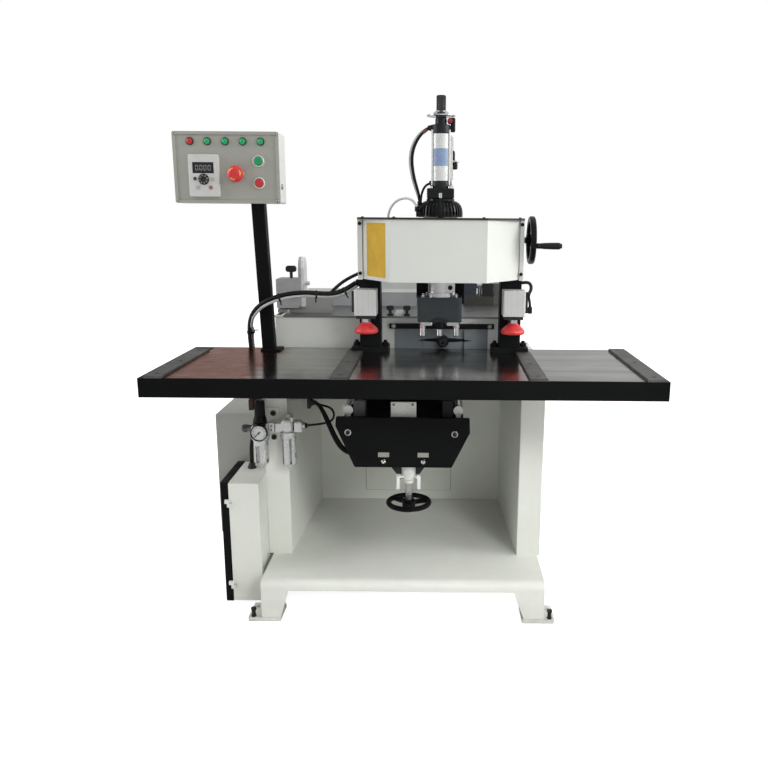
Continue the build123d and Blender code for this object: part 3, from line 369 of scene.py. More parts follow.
def plate_material():
    g = Mat("table_plate_steel")
    x = g.xyz()[0]
    streak = g.noise(9.0, 6.0, 0.72, g.stretch(1.0, 26.0, 1.0), 0.3)
    fine = g.noise(60.0, 4.0, 0.75, g.stretch(1.0, 14.0, 1.0))
    blot = g.noise(6.0, 5.0, 0.62, None, 0.6)
    col = g.mix(g.span(streak, 0.32, 0.68), (0.30, 0.298, 0.285), (0.43, 0.428, 0.41))
    col = g.mix(g.span(blot, 0.42, 0.78, 0.0, 0.55), col, (0.25, 0.245, 0.23))
    band = g.noise(2.4, 3.0, 0.6, g.stretch(1.0, 9.0, 1.0), 0.2)
    col = g.times(col, g.mix(g.span(band, 0.36, 0.64), (0.74, 0.74, 0.74), (1.24, 1.24, 1.24)))
    # the left plate carries a painted reddish reflection that fades towards the right
    edge = g.math("ADD", x, g.span(g.noise(16.0, 5.0, 0.7, g.stretch(1.0, 3.0, 1.0)), 0.3, 0.7, -0.03, 0.03))
    painted_red_reflection = g.math("MULTIPLY", g.span(edge, -0.372, -0.322, 1.0, 0.0), g.span(g.noise(26.0, 6.0, 0.75, g.stretch(1.0, 2.5, 1.0)), 0.34, 0.62, 0.62, 1.0))
    painted_red_reflection = g.math("MULTIPLY", painted_red_reflection, g.math("LESS_THAN", x, -0.167))
    col = g.mix(g.math("MULTIPLY", painted_red_reflection, 0.86), col, (0.27, 0.112, 0.088))
    # the right plate's colour is lowered as painted shade, dimming its reflection of the bright sky
    col = g.times(col, g.mix(g.math("GREATER_THAN", x, 0.27), (1.0, 1.0, 1.0), (0.82, 0.81, 0.78)))
    g.put(g.b.inputs["Base Color"], col)
    g.put(g.b.inputs["Specular Tint"], g.mix(painted_red_reflection, (1.0, 1.0, 1.0), (0.85, 0.60, 0.55)))
    g.b.inputs["Metallic"].default_value = 1.0
    r = g.math("ADD", g.span(fine, 0.3, 0.7, 0.06, 0.14), g.span(blot, 0.3, 0.75, 0.03, 0.13))
    r = g.math("ADD", r, g.math("MULTIPLY", painted_red_reflection, 0.08))
    g.put(g.b.inputs["Roughness"], r)
    g.put(g.b.inputs["Normal"], g.bump(fine, 0.05, 0.0003, g.bump(g.noise(7.0, 2.0, 0.5), 0.04, 0.004)))
    return g.m


dress("table_plates", plate_material())
dress("table_bars", plain("bar_steel", (0.115, 0.112, 0.106), 0.44, 0.75, tone=0.35, tone_scale=12.0, grit=0.25, grit_scale=120.0,
      radius=0.9, edge=0.7, edge_col=(0.22, 0.20, 0.18), brush=(14.0, 1.0, 1.0), brush_amt=0.3))

# ---- operator panel
dress("panel_pole", plain("pole_black", (0.0060, 0.0062, 0.0068), 0.5, **dict(BLACKP, spec=0.08, edge=0.25)))
dress("control_box", zones("panel_enamel", ((0.80, 0.81, 0.78), 0.42, 0.0),
      (lambda g: g.box(y1=316.5), (0.395, 0.40, 0.352), 0.5, 0.0),
      (lambda g: g.both(g.either(g.disc("y", -377, 1192, 14.8), g.disc("y", -377, 1139, 14.8)), g.box(y1=312.3)), (0.82, 0.82, 0.80), 0.2, 0.35),
      (lambda g: g.both(g.disc("y", -432, 1160, 17.7), g.box(y1=312.3)), (0.45, 0.45, 0.44), 0.3, 0.7),
      (lambda g: g.box(x0=-325.6), (0.30, 0.30, 0.30), 0.3, 0.9),
      tone=0.04, tone_scale=6.0, grit=0.07, grit_scale=420.0, peel=0.22, peel_scale=650.0, radius=1.4, edge=0.2,
      edge_col=(0.55, 0.54, 0.5)))


def gloss_plastic(name, col, *layers, **kw):
    k = dict(tone=0.08, tone_scale=60.0, rough_var=0.05, radius=0.5)
    k.update(kw)
    return zones(name, (col, 0.24, 0.0), *layers, **k)


GREEN, RED = (0.012, 0.42, 0.15), (0.56, 0.022, 0.026)
lamp_rings = lambda g: g.no(g.either(*[g.disc("y", x, 1239, 7.3) for x in (-547.0, -503.5, -459.0, -415.0, -370.5)]))
dress("indicator_lamps", gloss_plastic("lamp_lenses", GREEN,
      (lambda g: g.box(x1=-525), RED, 0.22, 0.0), (lamp_rings, (0.012, 0.012, 0.013), 0.3, 0.0)))
dress("start_button", gloss_plastic("green_button", (0.010, 0.35, 0.12)))
dress("stop_button", gloss_plastic("red_button", (0.66, 0.034, 0.038)))


def estop_arrows(g):
    r = g.radius("y", -432, 1160)
    d = g.vec("SUBTRACT", g.co, tuple(mm(-432, YS, 1160)))
    s = g.t.nodes.new("ShaderNodeSeparateXYZ")
    g.put(s.inputs[0], d)
    ang = g.math("ARCTAN2", s.outputs[2], s.outputs[0])
    arc = g.math("GREATER_THAN", g.math("SINE", g.math("MULTIPLY", g.math("ADD", ang, 0.35), 3.0)), 0.25)
    return g.both(g.math("GREATER_THAN", r, 0.0128), g.math("LESS_THAN", r, 0.0152), arc, g.box(y1=287))


dress("emergency_stop", gloss_plastic("red_mushroom", (0.74, 0.038, 0.042), (estop_arrows, (0.72, 0.55, 0.10), 0.3, 0.0), radius=0.6))

dress("inverter_keypad", gloss_plastic("keypad_shell", (0.66, 0.67, 0.64),
      (lambda g: g.box(x0=-542.2, x1=-488.3, z0=1161.3, z1=1188.7, y0=304.4), (0.012, 0.013, 0.016), 0.08, 0.0),
      (lambda g: g.both(g.disc("y", -515, 1147, 13.7), g.box(y0=303.8)), (0.62, 0.63, 0.61), 0.3, 0.0),
      (lambda g: g.both(g.disc("y", -536.5, 1148.5, 4.6), g.box(y1=303.4)), (0.05, 0.05, 0.052), 0.3, 0.0),
      (lambda g: g.both(g.disc("y", -494.5, 1147.5, 4.6), g.box(y1=303.4)), (0.50, 0.50, 0.49), 0.3, 0.0),
      (lambda g: g.both(g.disc("y", -530.4, 1127, 5.0), g.box(y1=303.4)), (0.45, 0.45, 0.44), 0.35, 0.0),
      (lambda g: g.both(g.disc("y", -498, 1127, 5.0), g.box(y1=303.4)), (0.42, 0.12, 0.11), 0.35, 0.0),
      peel=0.12, peel_scale=1200.0))


def dial_segments(g):
    r = g.radius("y", -515, 1147)
    d = g.vec("SUBTRACT", g.co, tuple(mm(-515, YS, 1147)))
    s = g.t.nodes.new("ShaderNodeSeparateXYZ")
    g.put(s.inputs[0], d)
    ang = g.math("ARCTAN2", s.outputs[2], s.outputs[0])
    seg = g.math("GREATER_THAN", g.math("SINE", g.math("MULTIPLY", ang, 8.0)), 0.45)
    return g.both(g.math("GREATER_THAN", r, 0.0076), g.math("LESS_THAN", r, 0.0106), seg)


dress("keypad_dial", gloss_plastic("dial_plastic", (0.02, 0.02, 0.022), (dial_segments, (0.36, 0.36, 0.355), 0.35, 0.0)))

# ---- air service, cabinets
dress("regulator_knob", zones("knob_plastic", ((0.016, 0.016, 0.017), 0.36, 0.0),
      (lambda g: g.box(z1=511.5), (0.5, 0.5, 0.5), 0.3, 0.8), tone=0.15, tone_scale=50.0, peel=0.15, peel_scale=900.0, radius=0.5))
dress("gauge_needle", plain("needle_black", (0.02, 0.02, 0.02), 0.4, 0.0, tone=0.1, tone_scale=90.0))
dress("cabinet_door", zones("door_black", ((0.0050, 0.0052, 0.0055), 0.45, 0.0),
      (lambda g: g.box(y1=268.1), WHITE, 0.4, 0.0), (lambda g: g.box(x1=-507.6), (0.05, 0.05, 0.052), 0.3, 0.0), **BLACKP))

# ---- gantry
dress("gantry_posts", plain("post_black", (0.0100, 0.0108, 0.0118), 0.42, **BLACKP))
dress("gantry_cover", zones("cover_enamel", (WHITE, 0.36, 0.0),
      (lambda g: g.box(z0=1051.95), (0.016, 0.0165, 0.017), 0.36, 0.0), **PAINT))
dress("cross_guide_rods", mat_chrome)
dress("cross_screw", zones("wheel_black", ((0.40, 0.40, 0.40), 0.3, 1.0),
      (lambda g: g.box(x0=305), (0.006, 0.0064, 0.007), 0.2, 0.0), tone=0.2, tone_scale=30.0, rough_var=0.05, radius=1.2, spec=0.16))
dress("handwheel_grip", plain("grip_plastic", (0.008, 0.008, 0.0085), 0.24, 0.0, tone=0.15, tone_scale=40.0, peel=0.05, peel_scale=500.0, spec=0.35))


def clamp_lines(g):
    x = g.xyz()[0]
    ms = []
    for c in (-114.5, 274.0):
        for o in (-19.0, -7.5, 9.0, 21.0):
            ms.append(g.math("LESS_THAN", g.math("ABSOLUTE", g.math("SUBTRACT", x, (c + o) / 1000.0)), 0.0006))
    return g.both(g.either(*ms), g.box(y1=307, z0=807.5))


dress("clamp_cylinders", zones("clamp_anodised", ((0.74, 0.745, 0.73), 0.38, 0.35),
      (clamp_lines, (0.64, 0.645, 0.64), 0.4, 0.3),
      (lambda g: g.box(z1=806.1), (0.014, 0.014, 0.015), 0.35, 0.0),
      (lambda g: g.either(g.box(x1=-143.7), g.box(x0=303.2)), (0.016, 0.016, 0.017), 0.3, 0.0),
      tone=0.06, tone_scale=20.0, grit=0.04, grit_scale=300.0, radius=0.9, brush=(14.0, 14.0, 1.0), brush_amt=0.25))
for n, c in (("left_clamp_foot", -114.5), ("right_clamp_foot", 274.0)):
    dress(n, zones("pad_rubber_" + n, ((0.74, 0.044, 0.046), 0.42, 0.0),
          (lambda g, c=c: g.either(g.disc("z", c, 334, 8.2), g.box(z0=786.1)), CHROME, 0.18, 1.0),
          tone=0.14, tone_scale=35.0, grit=0.05, grit_scale=400.0, peel=0.12, peel_scale=600.0, radius=1.0))

# ---- drill unit
dress("head_carriage", zones("carriage_black", ((0.008, 0.0082, 0.0088), 0.4, 0.0), (lambda g: g.disc("z", 79.5, 340, 34.5), STEEL, 0.3, 0.9), **BLACKP))
dress("drill_motor", zones("motor_black", ((0.0065, 0.0070, 0.0078), 0.2, 0.0), tone=0.2, tone_scale=25.0, rough_var=0.06,
      peel=0.06, peel_scale=350.0, radius=0.8, edge=0.25, edge_col=(0.04, 0.035, 0.035), spec=0.26))


def rod_material():
    g = Mat("threaded_rod")
    z = g.xyz()[2]
    r = g.radius("z", 79.5, 340)
    thread = g.both(g.math("LESS_THAN", r, 0.0125), g.box(z0=1318.5))
    wave = g.math("ABSOLUTE", g.math("SUBTRACT", g.math("FRACT", g.math("MULTIPLY", z, 420.0)), 0.5))
    # the thread bands alternate light and dark along the pitch: painted light and shade on the thread flanks
    col = g.mix(thread, CHROME, g.mix(g.span(wave, 0.0, 0.5), (0.11, 0.11, 0.11), (0.016, 0.016, 0.017)))
    col = g.times(col, g.mix(g.span(g.noise(40.0, 3.0, 0.6), 0.3, 0.7), (0.85,) * 3, (1.05,) * 3))
    g.put(g.b.inputs["Base Color"], col)
    g.b.inputs["Metallic"].default_value = 1.0
    g.put(g.b.inputs["Roughness"], g.mixf(thread, 0.14, 0.32))
    g.put(g.b.inputs["Normal"], g.bump(g.math("MULTIPLY", wave, thread), 1.0, 0.0016))
    return g.m


dress("feed_rod", rod_material())
dress("drill_quill", zones("quill_machined", ((0.62, 0.62, 0.615), 0.25, 1.0),
      (lambda g: g.box(z0=893.6), (0.5, 0.5, 0.5), 0.2, 1.0),
      # the hole in the collar is painted near black: painted shade inside it
      (lambda g: g.both(g.disc("y", 106.5, 880, 6.5), g.box(x0=99, x1=114, y0=312.3, y1=340)), (0.006, 0.006, 0.006), 0.5, 0.0),
      tone=0.10, tone_scale=28.0, rough_var=0.08, radius=0.8, brush=(1.0, 1.0, 16.0), brush_amt=0.2))
dress("gearbox", zones("gear_case", ((0.038, 0.045, 0.049), 0.40, 0.0),
      (lambda g: g.box(z1=790.0), (0.008, 0.0085, 0.009), 0.40, 0.0),
      tone=0.14, tone_scale=16.0, grit=0.1, grit_scale=380.0, peel=0.2, peel_scale=800.0, radius=1.5, edge=0.5, edge_col=(0.12, 0.13, 0.135), spec=0.25))
dress("drive_belts", plain("belt_rubber", (0.02, 0.02, 0.02), 0.6, 0.0, tone=0.2, tone_scale=60.0))
for n in ("center_spindle", "left_spindle", "right_spindle"):
    dress(n, mat_chrome)

# ---- mortising unit
dress("knee_frame", zones("knee_black", ((0.0046, 0.0050, 0.0051), 0.45, 0.0),
      (lambda g: g.box(x0=-40, x1=46, y0=195.5, y1=233, z1=441.2), (0.040, 0.041, 0.041), 0.45, 0.0),
      (lambda g: g.both(g.disc("z", 3, 205, 20.0), g.box(z1=440.05)), WHITE, 0.36, 0.0),
      (lambda g: g.both(g.either(g.disc("y", -148, 530, 11), g.disc("y", 120, 527, 11)), g.box(y1=165.9)), (0.58, 0.58, 0.57), 0.25, 0.9),
      (lambda g: g.both(g.either(g.disc("y", -148, 530, 5.6), g.disc("y", 120, 527, 5.6)), g.box(y1=165.9)), (0.05, 0.05, 0.05), 0.3, 0.6),
      (lambda g: g.both(g.either(g.disc("y", -59, 455, 7), g.disc("y", 41, 455, 7)), g.box(y1=165.9)), (0.66, 0.65, 0.62), 0.2, 1.0),
      **BLACKP))
dress("lift_screw", zones("lift_wheel", ((0.004, 0.0042, 0.0047), 0.34, 0.0),
      (lambda g: g.box(z0=341.2), (0.40, 0.40, 0.39), 0.28, 0.9), tone=0.12, tone_scale=25.0, rough_var=0.05, radius=0.9, spec=0.06))
dress("lock_levers", zones("lever_enamel", (WHITE, 0.38, 0.0),
      (lambda g: g.box(x0=-18.9, x1=24.9, z1=402.9), (0.012, 0.012, 0.013), 0.34, 0.0), **PAINT))
rails = lambda g: g.either(g.disc("y", -149, 582, 12.7), g.disc("y", 129, 582, 12.7))
dress("lift_carriage", zones("carriage_dark", ((0.008, 0.0082, 0.0088), 0.42, 0.0),
      (rails, (0.62, 0.62, 0.61), 0.2, 1.0),
      (lambda g: g.both(rails(g), g.box(y1=188.6)), (0.86, 0.87, 0.83), 0.42, 0.0),
      (lambda g: g.box(y1=191, z0=561.5, z1=576), (0.60, 0.60, 0.57), 0.4, 0.3),
      (lambda g: g.box(x0=-136.5, x1=-106.5, y0=191.5, y1=240.5, z0=555.5, z1=606.5), (0.115, 0.118, 0.118), 0.45, 0.1),
      # the right bearing block is coloured darker than the left one: painted shade on the same metal
      (lambda g: g.box(x0=88.5, x1=116.5, y0=191.5, y1=240.5, z0=555.5, z1=606.5), (0.030, 0.031, 0.032), 0.45, 0.1),
      (lambda g: g.box(x0=-42, x1=24, y1=187.3), (0.85, 0.855, 0.81), 0.4, 0.0),
      (lambda g: g.box(z1=539), STEEL, 0.25, 1.0),
      **BLACKP))
dress("feed_saddle", zones("saddle_steel", ((0.20, 0.20, 0.205), 0.35, 0.8),
      # the front plate is painted near black as painted shade, filling the dark gap in front of the rear panel
      (lambda g: g.box(y1=471.3), (0.007, 0.007, 0.0075), 0.45, 0.0),
      tone=0.15, tone_scale=12.0, radius=0.8, brush=(1.0, 12.0, 1.0), brush_amt=0.2))
dress("traverse_slide", zones("spindle_motor", ((0.035, 0.038, 0.041), 0.38, 0.2),
      (lambda g: g.box(y1=561), (0.12, 0.12, 0.125), 0.3, 0.9), tone=0.15, tone_scale=15.0, peel=0.15, radius=0.9))
dress("mortise_spindle", zones("collet_black", ((0.016, 0.016, 0.017), 0.28, 0.5),
      (lambda g: g.disc("y", 89, 717, 7.2), (0.10, 0.10, 0.10), 0.35, 0.9), tone=0.2, tone_scale=60.0, radius=0.6, edge=0.4, edge_col=(0.2, 0.2, 0.2)))
RUBBER = dict(tone=0.16, tone_scale=8.0, grit=0.08, grit_scale=260.0, peel=0.2, peel_scale=500.0, radius=0.8, spec=0.18)
# the lens-shaped slit between the curtain flaps is painted near black: painted shade in the gap
def painted_slit_shade(g):
    x, z = g.xyz()[0], g.xyz()[2]
    u = g.math("DIVIDE", g.math("SUBTRACT", x, 0.0955), 0.077)
    half = g.math("MULTIPLY", g.math("SUBTRACT", 1.0, g.math("MULTIPLY", u, u)), 0.0060)
    return g.math("LESS_THAN", g.math("ABSOLUTE", g.math("SUBTRACT", z, 0.720)), half)


dress("dust_curtain", zones("curtain_rubber", ((0.275, 0.308, 0.330), 0.48, 0.0),
      (lambda g: g.box(y1=443.8), (0.005, 0.005, 0.0055), 0.45, 0.0),
      (lambda g: g.both(g.either(g.disc("y", -49, 761, 6), g.disc("y", 220, 761, 6)), g.box(y1=437.1)), (0.50, 0.50, 0.49), 0.3, 0.8),
      (lambda g: g.both(painted_slit_shade(g), g.box(y1=447.0, z1=735)), (0.006, 0.006, 0.007), 0.6, 0.0), **RUBBER))


dress("curtain_lip", zones("lip_rubber", ((0.285, 0.320, 0.342), 0.48, 0.0), (painted_slit_shade, (0.006, 0.006, 0.007), 0.6, 0.0), **RUBBER))
dress("rear_bed", zones("bed_enamel", ((0.84, 0.86, 0.81), 0.4, 0.0),
      (lambda g: g.box(x0=-358, z0=782.4), (0.205, 0.207, 0.203), 0.40, 0.85),
      (lambda g: g.box(x0=-379, x1=-366, y0=456, y1=552, z0=786.5), (0.022, 0.018, 0.015), 0.6, 0.0), **PAINT))
dress("bed_fittings", zones("bed_parts", ((0.255, 0.265, 0.262), 0.42, 0.1),
      (lambda g: g.box(y0=640, z1=829.2, x1=20), (0.44, 0.455, 0.465), 0.42, 0.1),
      (lambda g: g.box(y0=640, z0=829.2, x1=20), (0.52, 0.53, 0.515), 0.40, 0.0),
      (lambda g: g.box(x1=-225, y1=560), (0.46, 0.46, 0.45), 0.35, 0.6),
      (lambda g: g.box(x0=100), (0.060, 0.056, 0.050), 0.40, 0.1),
      (lambda g: g.box(x0=100, x1=196.2, y0=640, z0=815.2), (0.045, 0.054, 0.068), 0.36, 0.1),
      (lambda g: g.box(x0=212.4, y0=640, z0=815.2), (0.012, 0.0125, 0.0135), 0.36, 0.0),
      (lambda g: g.box(x0=197.5, x1=212.4, y0=640, z0=817.2), (0.50, 0.50, 0.49), 0.28, 0.9),
      (lambda g: g.box(x0=250.1, y0=640), (0.16, 0.16, 0.16), 0.34, 0.6),
      (lambda g: g.box(x0=-47, x1=-25, y1=545), (0.66, 0.66, 0.65), 0.3, 0.8),
      (lambda g: g.either(g.box(x0=-77, x1=-47.5, y1=490), g.box(x0=-24.5, x1=5, y1=490)), (0.014, 0.014, 0.015), 0.32, 0.0),
      tone=0.1, tone_scale=14.0, grit=0.06, grit_scale=260.0, peel=0.14, peel_scale=500.0, radius=1.0, edge=0.3, edge_col=(0.5, 0.5, 0.5)))
dress("door_stop", zones("stop_cast", ((0.46, 0.465, 0.462), 0.46, 0.15),
      (lambda g: g.box(x0=-313.9), (0.80, 0.805, 0.80), 0.36, 0.0),
      (lambda g: g.both(g.box(z0=885.1), g.box(x1=-323)), (0.014, 0.014, 0.015), 0.3, 0.0),
      tone=0.14, tone_scale=40.0, grit=0.12, grit_scale=420.0, peel=0.3, peel_scale=700.0, radius=1.2))


# ------------------------------------------------------------------ pieces
class Piece:
    """Collects mesh parts with their materials into one object."""

    def __init__(self, name):
        self.name, self.bm, self.mats = name, bmesh.new(), []

    def idx(self, mat):
        if mat not in self.mats:
            self.mats.append(mat)
        return self.mats.index(mat)

    def merge(self, tmp, mat, move=None):
        if move is not None:
            bmesh.ops.transform(tmp, matrix=move, verts=tmp.verts)
        bmesh.ops.remove_doubles(tmp, verts=tmp.verts, dist=1e-7)
        bmesh.ops.recalc_face_normals(tmp, faces=tmp.faces)
        k = self.idx(mat)
        seen = {}
        for v in tmp.verts:
            seen[v] = self.bm.verts.new(v.co)
        for f in tmp.faces:
            try:
                nf = self.bm.faces.new([seen[v] for v in f.verts])
            except ValueError:
                continue
            nf.material_index = k
            nf.smooth = True
        tmp.free()

    def box(self, x0, x1, y0, y1, z0, z1, mat, bevel=0.8, segs=2, turn=None):
        tmp = bmesh.new()
        bmesh.ops.create_cube(tmp, size=1.0)
        a, b = mm(x0, y0, z0), mm(x1, y1, z1)
        size, mid = b - a, (a + b) / 2
        bmesh.ops.scale(tmp, vec=size, verts=tmp.verts)
        if bevel > 0:
            bmesh.ops.bevel(tmp, geom=list(tmp.edges), offset=bevel / 1000.0, segments=segs, profile=0.5, affect="EDGES")
        m = Matrix.Translation(mid)
        if turn is not None:
            m = m @ turn
        self.merge(tmp, mat, m)

    def lathe(self, axis, a, b, prof, mat, segs=40, skip=None):
        """prof is (radius, height) pairs in mm along the axis; skip(angle, height) drops faces."""
        tmp = bmesh.new()
        rings = []
        for r, h in prof:
            ring = []
            for i in range(segs if r > 0 else 1):
                t = 2 * math.pi * i / segs
                u, v = r * math.cos(t), r * math.sin(t)
                if axis == "z":
                    p = mm(a + u, b + v, h)
                elif axis == "y":
                    p = mm(a + u, h, b + v)
                else:
                    p = mm(h, a + u, b + v)
                ring.append(tmp.verts.new(p))
            rings.append(ring)
        for k in range(len(rings) - 1):
            lo, hi = rings[k], rings[k + 1]
            for i in range(segs):
                j = (i + 1) % segs
                if skip is not None and skip(2 * math.pi * (i + 0.5) / segs, (prof[k][1] + prof[k + 1][1]) / 2):
                    continue
                if len(lo) == 1 and len(hi) == 1:
                    continue
                if len(lo) == 1:
                    tmp.faces.new((lo[0], hi[i], hi[j]))
                elif len(hi) == 1:
                    tmp.faces.new((lo[i], hi[0], lo[j]))
                else:
                    tmp.faces.new((lo[i], hi[i], hi[j], lo[j]))
        self.merge(tmp, mat)

    def prism(self, axis, pts, h0, h1, mat, bevel=0.0, segs=2):
        tmp = bmesh.new()

        def at(u, v, h):
            return mm(u, v, h) if axis == "z" else mm(u, h, v) if axis == "y" else mm(h, u, v)
        lo = [tmp.verts.new(at(u, v, h0)) for u, v in pts]
        hi = [tmp.verts.new(at(u, v, h1)) for u, v in pts]
        tmp.faces.new(lo)
        tmp.faces.new(hi)
        for i in range(len(pts)):
            j = (i + 1) % len(pts)
            tmp.faces.new((lo[i], lo[j], hi[j], hi[i]))
        bmesh.ops.recalc_face_normals(tmp, faces=tmp.faces)
        if bevel > 0:
            bmesh.ops.bevel(tmp, geom=list(tmp.edges), offset=bevel / 1000.0, segments=segs, profile=0.5, affect="EDGES")
        self.merge(tmp, mat)

    def hexa(self, axis, a, b, h0, h1, af, mat, turn=0.0, bevel=0.6):
        pts = [(a + af / math.sqrt(3) * math.cos(math.radians(60 * i + turn)), b + af / math.sqrt(3) * math.sin(math.radians(60 * i + turn))) for i in range(6)]
        self.prism(axis, pts, h0, h1, mat, bevel)

    def socket_screw(self, axis, a, b, h0, h1, r, mat, inner=None):
        """a cap screw: the head runs from h0, on the part, to h1, its outer end"""
        s = 1.0 if h1 > h0 else -1.0
        e = min(r * 0.18, abs(h1 - h0) * 0.3)
        self.lathe(axis, a, b, [(0, h0), (r, h0), (r, h1 - s * e), (r - e, h1), (r * 0.56, h1), (r * 0.5, h1 - s * 0.2), (r * 0.5, h1 - s * r * 0.7), (0, h1 - s * r * 0.7)], mat, 24)

    def slot_screw(self, axis, a, b, h0, h1, r, mat, dark, turn=0.5):
        """a low domed head with a cross recess"""
        s = 1.0 if h1 > h0 else -1.0
        self.lathe(axis, a, b, [(0, h0), (r, h0), (r * 0.97, h0 + (h1 - h0) * 0.35), (r * 0.8, h0 + (h1 - h0) * 0.75), (r * 0.45, h1), (0, h1)], mat, 20)
        for k in range(2):
            t = turn + k * math.pi / 2
            c, d = math.cos(t), math.sin(t)
            l, w = r * 0.55, r * 0.11
            pts = [(a + c * l - d * w, b + d * l + c * w), (a - c * l - d * w, b - d * l + c * w), (a - c * l + d * w, b - d * l - c * w), (a + c * l + d * w, b + d * l - c * w)]
            self.prism(axis, pts, h1 - s * 0.2, h1 + s * 0.06, dark)

    def done(self, body, replaces=()):
        me = bpy.data.meshes.new(self.name)
        self.bm.to_mesh(me)
        self.bm.free()
        for m in self.mats:
            me.materials.append(m)
        me.set_sharp_from_angle(angle=math.radians(34))
        ob = bpy.data.objects.new(self.name, me)
        scene.collection.objects.link(ob)
        wn = ob.modifiers.new("flat_faces", "WEIGHTED_NORMAL")
        wn.weight = 80
        wn.keep_sharp = True
        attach(ob, body)
        if replaces:
            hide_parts(*replaces)
        return ob


# ---- cords: each follows the CAD route's points
def cord_curve(name, pts, dia, mat, body, length, replaces=()):
    cu = bpy.data.curves.new(name, "CURVE")
    cu.dimensions = "3D"
    sp = cu.splines.new("NURBS")
    sp.points.add(len(pts) - 1)
    for p, q in zip(sp.points, pts):
        v = mm(*q)
        p.co = (v.x, v.y, v.z, 1.0)
    sp.order_u = 3
    sp.use_endpoint_u = True
    sp.resolution_u = 10
    cu.bevel_depth = dia / 2000.0
    cu.bevel_resolution = 5
    cu.use_fill_caps = True
    cu.materials.append(mat)
    ob = bpy.data.objects.new(name, cu)
    scene.collection.objects.link(ob)
    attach(ob, body)
    if replaces:
        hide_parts(*replaces)
    return ob


def spline_points(pts):
    """points read from the route's spline, with no bevel on it"""
    cu = bpy.data.curves.new("tmp_route", "CURVE")
    cu.dimensions = "3D"
    sp = cu.splines.new("NURBS")
    sp.points.add(len(pts) - 1)
    for p, q in zip(sp.points, pts):
        v = mm(*q)
        p.co = (v.x, v.y, v.z, 1.0)
    sp.order_u = 3
    sp.use_endpoint_u = True
    sp.resolution_u = 10
    ob = bpy.data.objects.new("tmp_route", cu)
    me = bpy.data.meshes.new_from_object(ob)
    out = [v.co.copy() for v in me.vertices]
    bpy.data.objects.remove(ob)
    bpy.data.curves.remove(cu)
    bpy.data.meshes.remove(me)
    return out


MAIN = [(-455, 500, 520), (-455, 499, 552), (-455.5, 494, 592), (-456, 484, 635), (-456, 470, 677), (-454, 451, 717), (-448, 424, 753), (-436, 391, 784), (-417, 361, 811), (-389, 345, 834), (-354, 341, 850), (-315, 346, 859), (-275, 357, 861), (-238, 368, 857), (-206, 379, 856), (-176, 391, 865), (-148, 402, 884)]
HOSE = [(26, 346, 1098), (23.5, 346, 1114), (18, 345, 1134), (12, 343, 1155), (8, 341, 1177), (6, 339, 1198), (8, 338, 1219), (14.5, 337, 1239), (24.5, 336, 1256), (36.5, 336, 1269), (48.5, 336, 1277)]
TUBE = [(-56, 348, 1040), (-56, 348, 1056), (-53, 346, 1073), (-44, 342, 1089), (-30, 337, 1101), (-12, 331, 1106), (4, 326, 1103), (14, 323, 1094), (19, 322, 1084)]
SUPPLY = [(-286, 323, 503), (-270, 323.4, 504.2), (-254, 323.9, 506), (-238.5, 324.4, 508.4), (-224, 324.9, 511.4), (-213.9, 325.3, 515.2), (-206.8, 325.7, 523), (-204.2, 326.1, 533.3), (-206.6, 326.6, 543.6), (-213.3, 327.1, 551.8), (-223.1, 327.8, 556.1), (-235.5, 328.6, 558.6), (-246.5, 329.4, 561.6), (-256, 330, 565)]
KNEE_A = [(-256, 300.5, 577), (-244.5, 295, 572), (-233.5, 286, 560.5), (-225, 278, 546), (-217, 271.2, 529.5), (-209, 265.2, 513.5), (-201, 259.6, 497.5), (-191, 253.4, 479.5), (-179, 247.4, 464), (-164, 242.4, 454), (-146, 239.2, 449), (-128, 237.6, 447.2), (-110, 237, 447)]
KNEE_B = [(-256, 314.5, 573), (-244.5, 309.5, 568.5), (-233, 301.2, 557.5), (-223, 293.2, 543.5), (-214, 286.6, 527.5), (-206, 281.2, 511.5), (-198, 276.2, 496), (-188, 270.6, 478.5), (-176, 264.8, 462.5), (-161.5, 260, 452), (-145, 257.2, 447), (-128, 256, 445.8), (-110, 255.5, 445.5)]
CAB = [(-452, 398, 372), (-452, 398.2, 390), (-451.9, 399.2, 408), (-451.5, 402, 423.5), (-450.6, 407, 436.5), (-449.2, 414.8, 446.8), (-447.4, 424.6, 454.2), (-445.2, 436, 458.8), (-443, 448, 460.5)]

# ---- small turned and bent shapes used by the detail pieces
def add_sector(pc, axis, a, b, r0, r1, h0, h1, t0, t1, mat, n=10):
    """a closed ring segment between two angles (degrees)"""
    tmp = bmesh.new()

    def at(r, t, h):
        u, v = a + r * math.cos(t), b + r * math.sin(t)
        return mm(u, v, h) if axis == "z" else mm(u, h, v) if axis == "y" else mm(h, u, v)
    rows = []
    for i in range(n + 1):
        t = math.radians(t0 + (t1 - t0) * i / n)
        rows.append([tmp.verts.new(at(r, t, h)) for r, h in ((r0, h0), (r1, h0), (r1, h1), (r0, h1))])
    for p, q in zip(rows, rows[1:]):
        for k in range(4):
            tmp.faces.new((p[k], p[(k + 1) % 4], q[(k + 1) % 4], q[k]))
    tmp.faces.new(rows[0])
    tmp.faces.new(rows[-1])
    pc.merge(tmp, mat)


def along(points):
    """a frame at each point of a line: (point, tangent, side, up), carried along without twist"""
    out = []
    side = None
    for i, p in enumerate(points):
        a, b = points[max(i - 1, 0)], points[min(i + 1, len(points) - 1)]
        t = (b - a).normalized()
        if side is None:
            side = t.cross(Vector((0, 0, 1))) if abs(t.z) < 0.9 else t.cross(Vector((0, 1, 0)))
        side = (side - t * side.dot(t)).normalized()
        out.append((p, t, side, side.cross(t)))
    return out


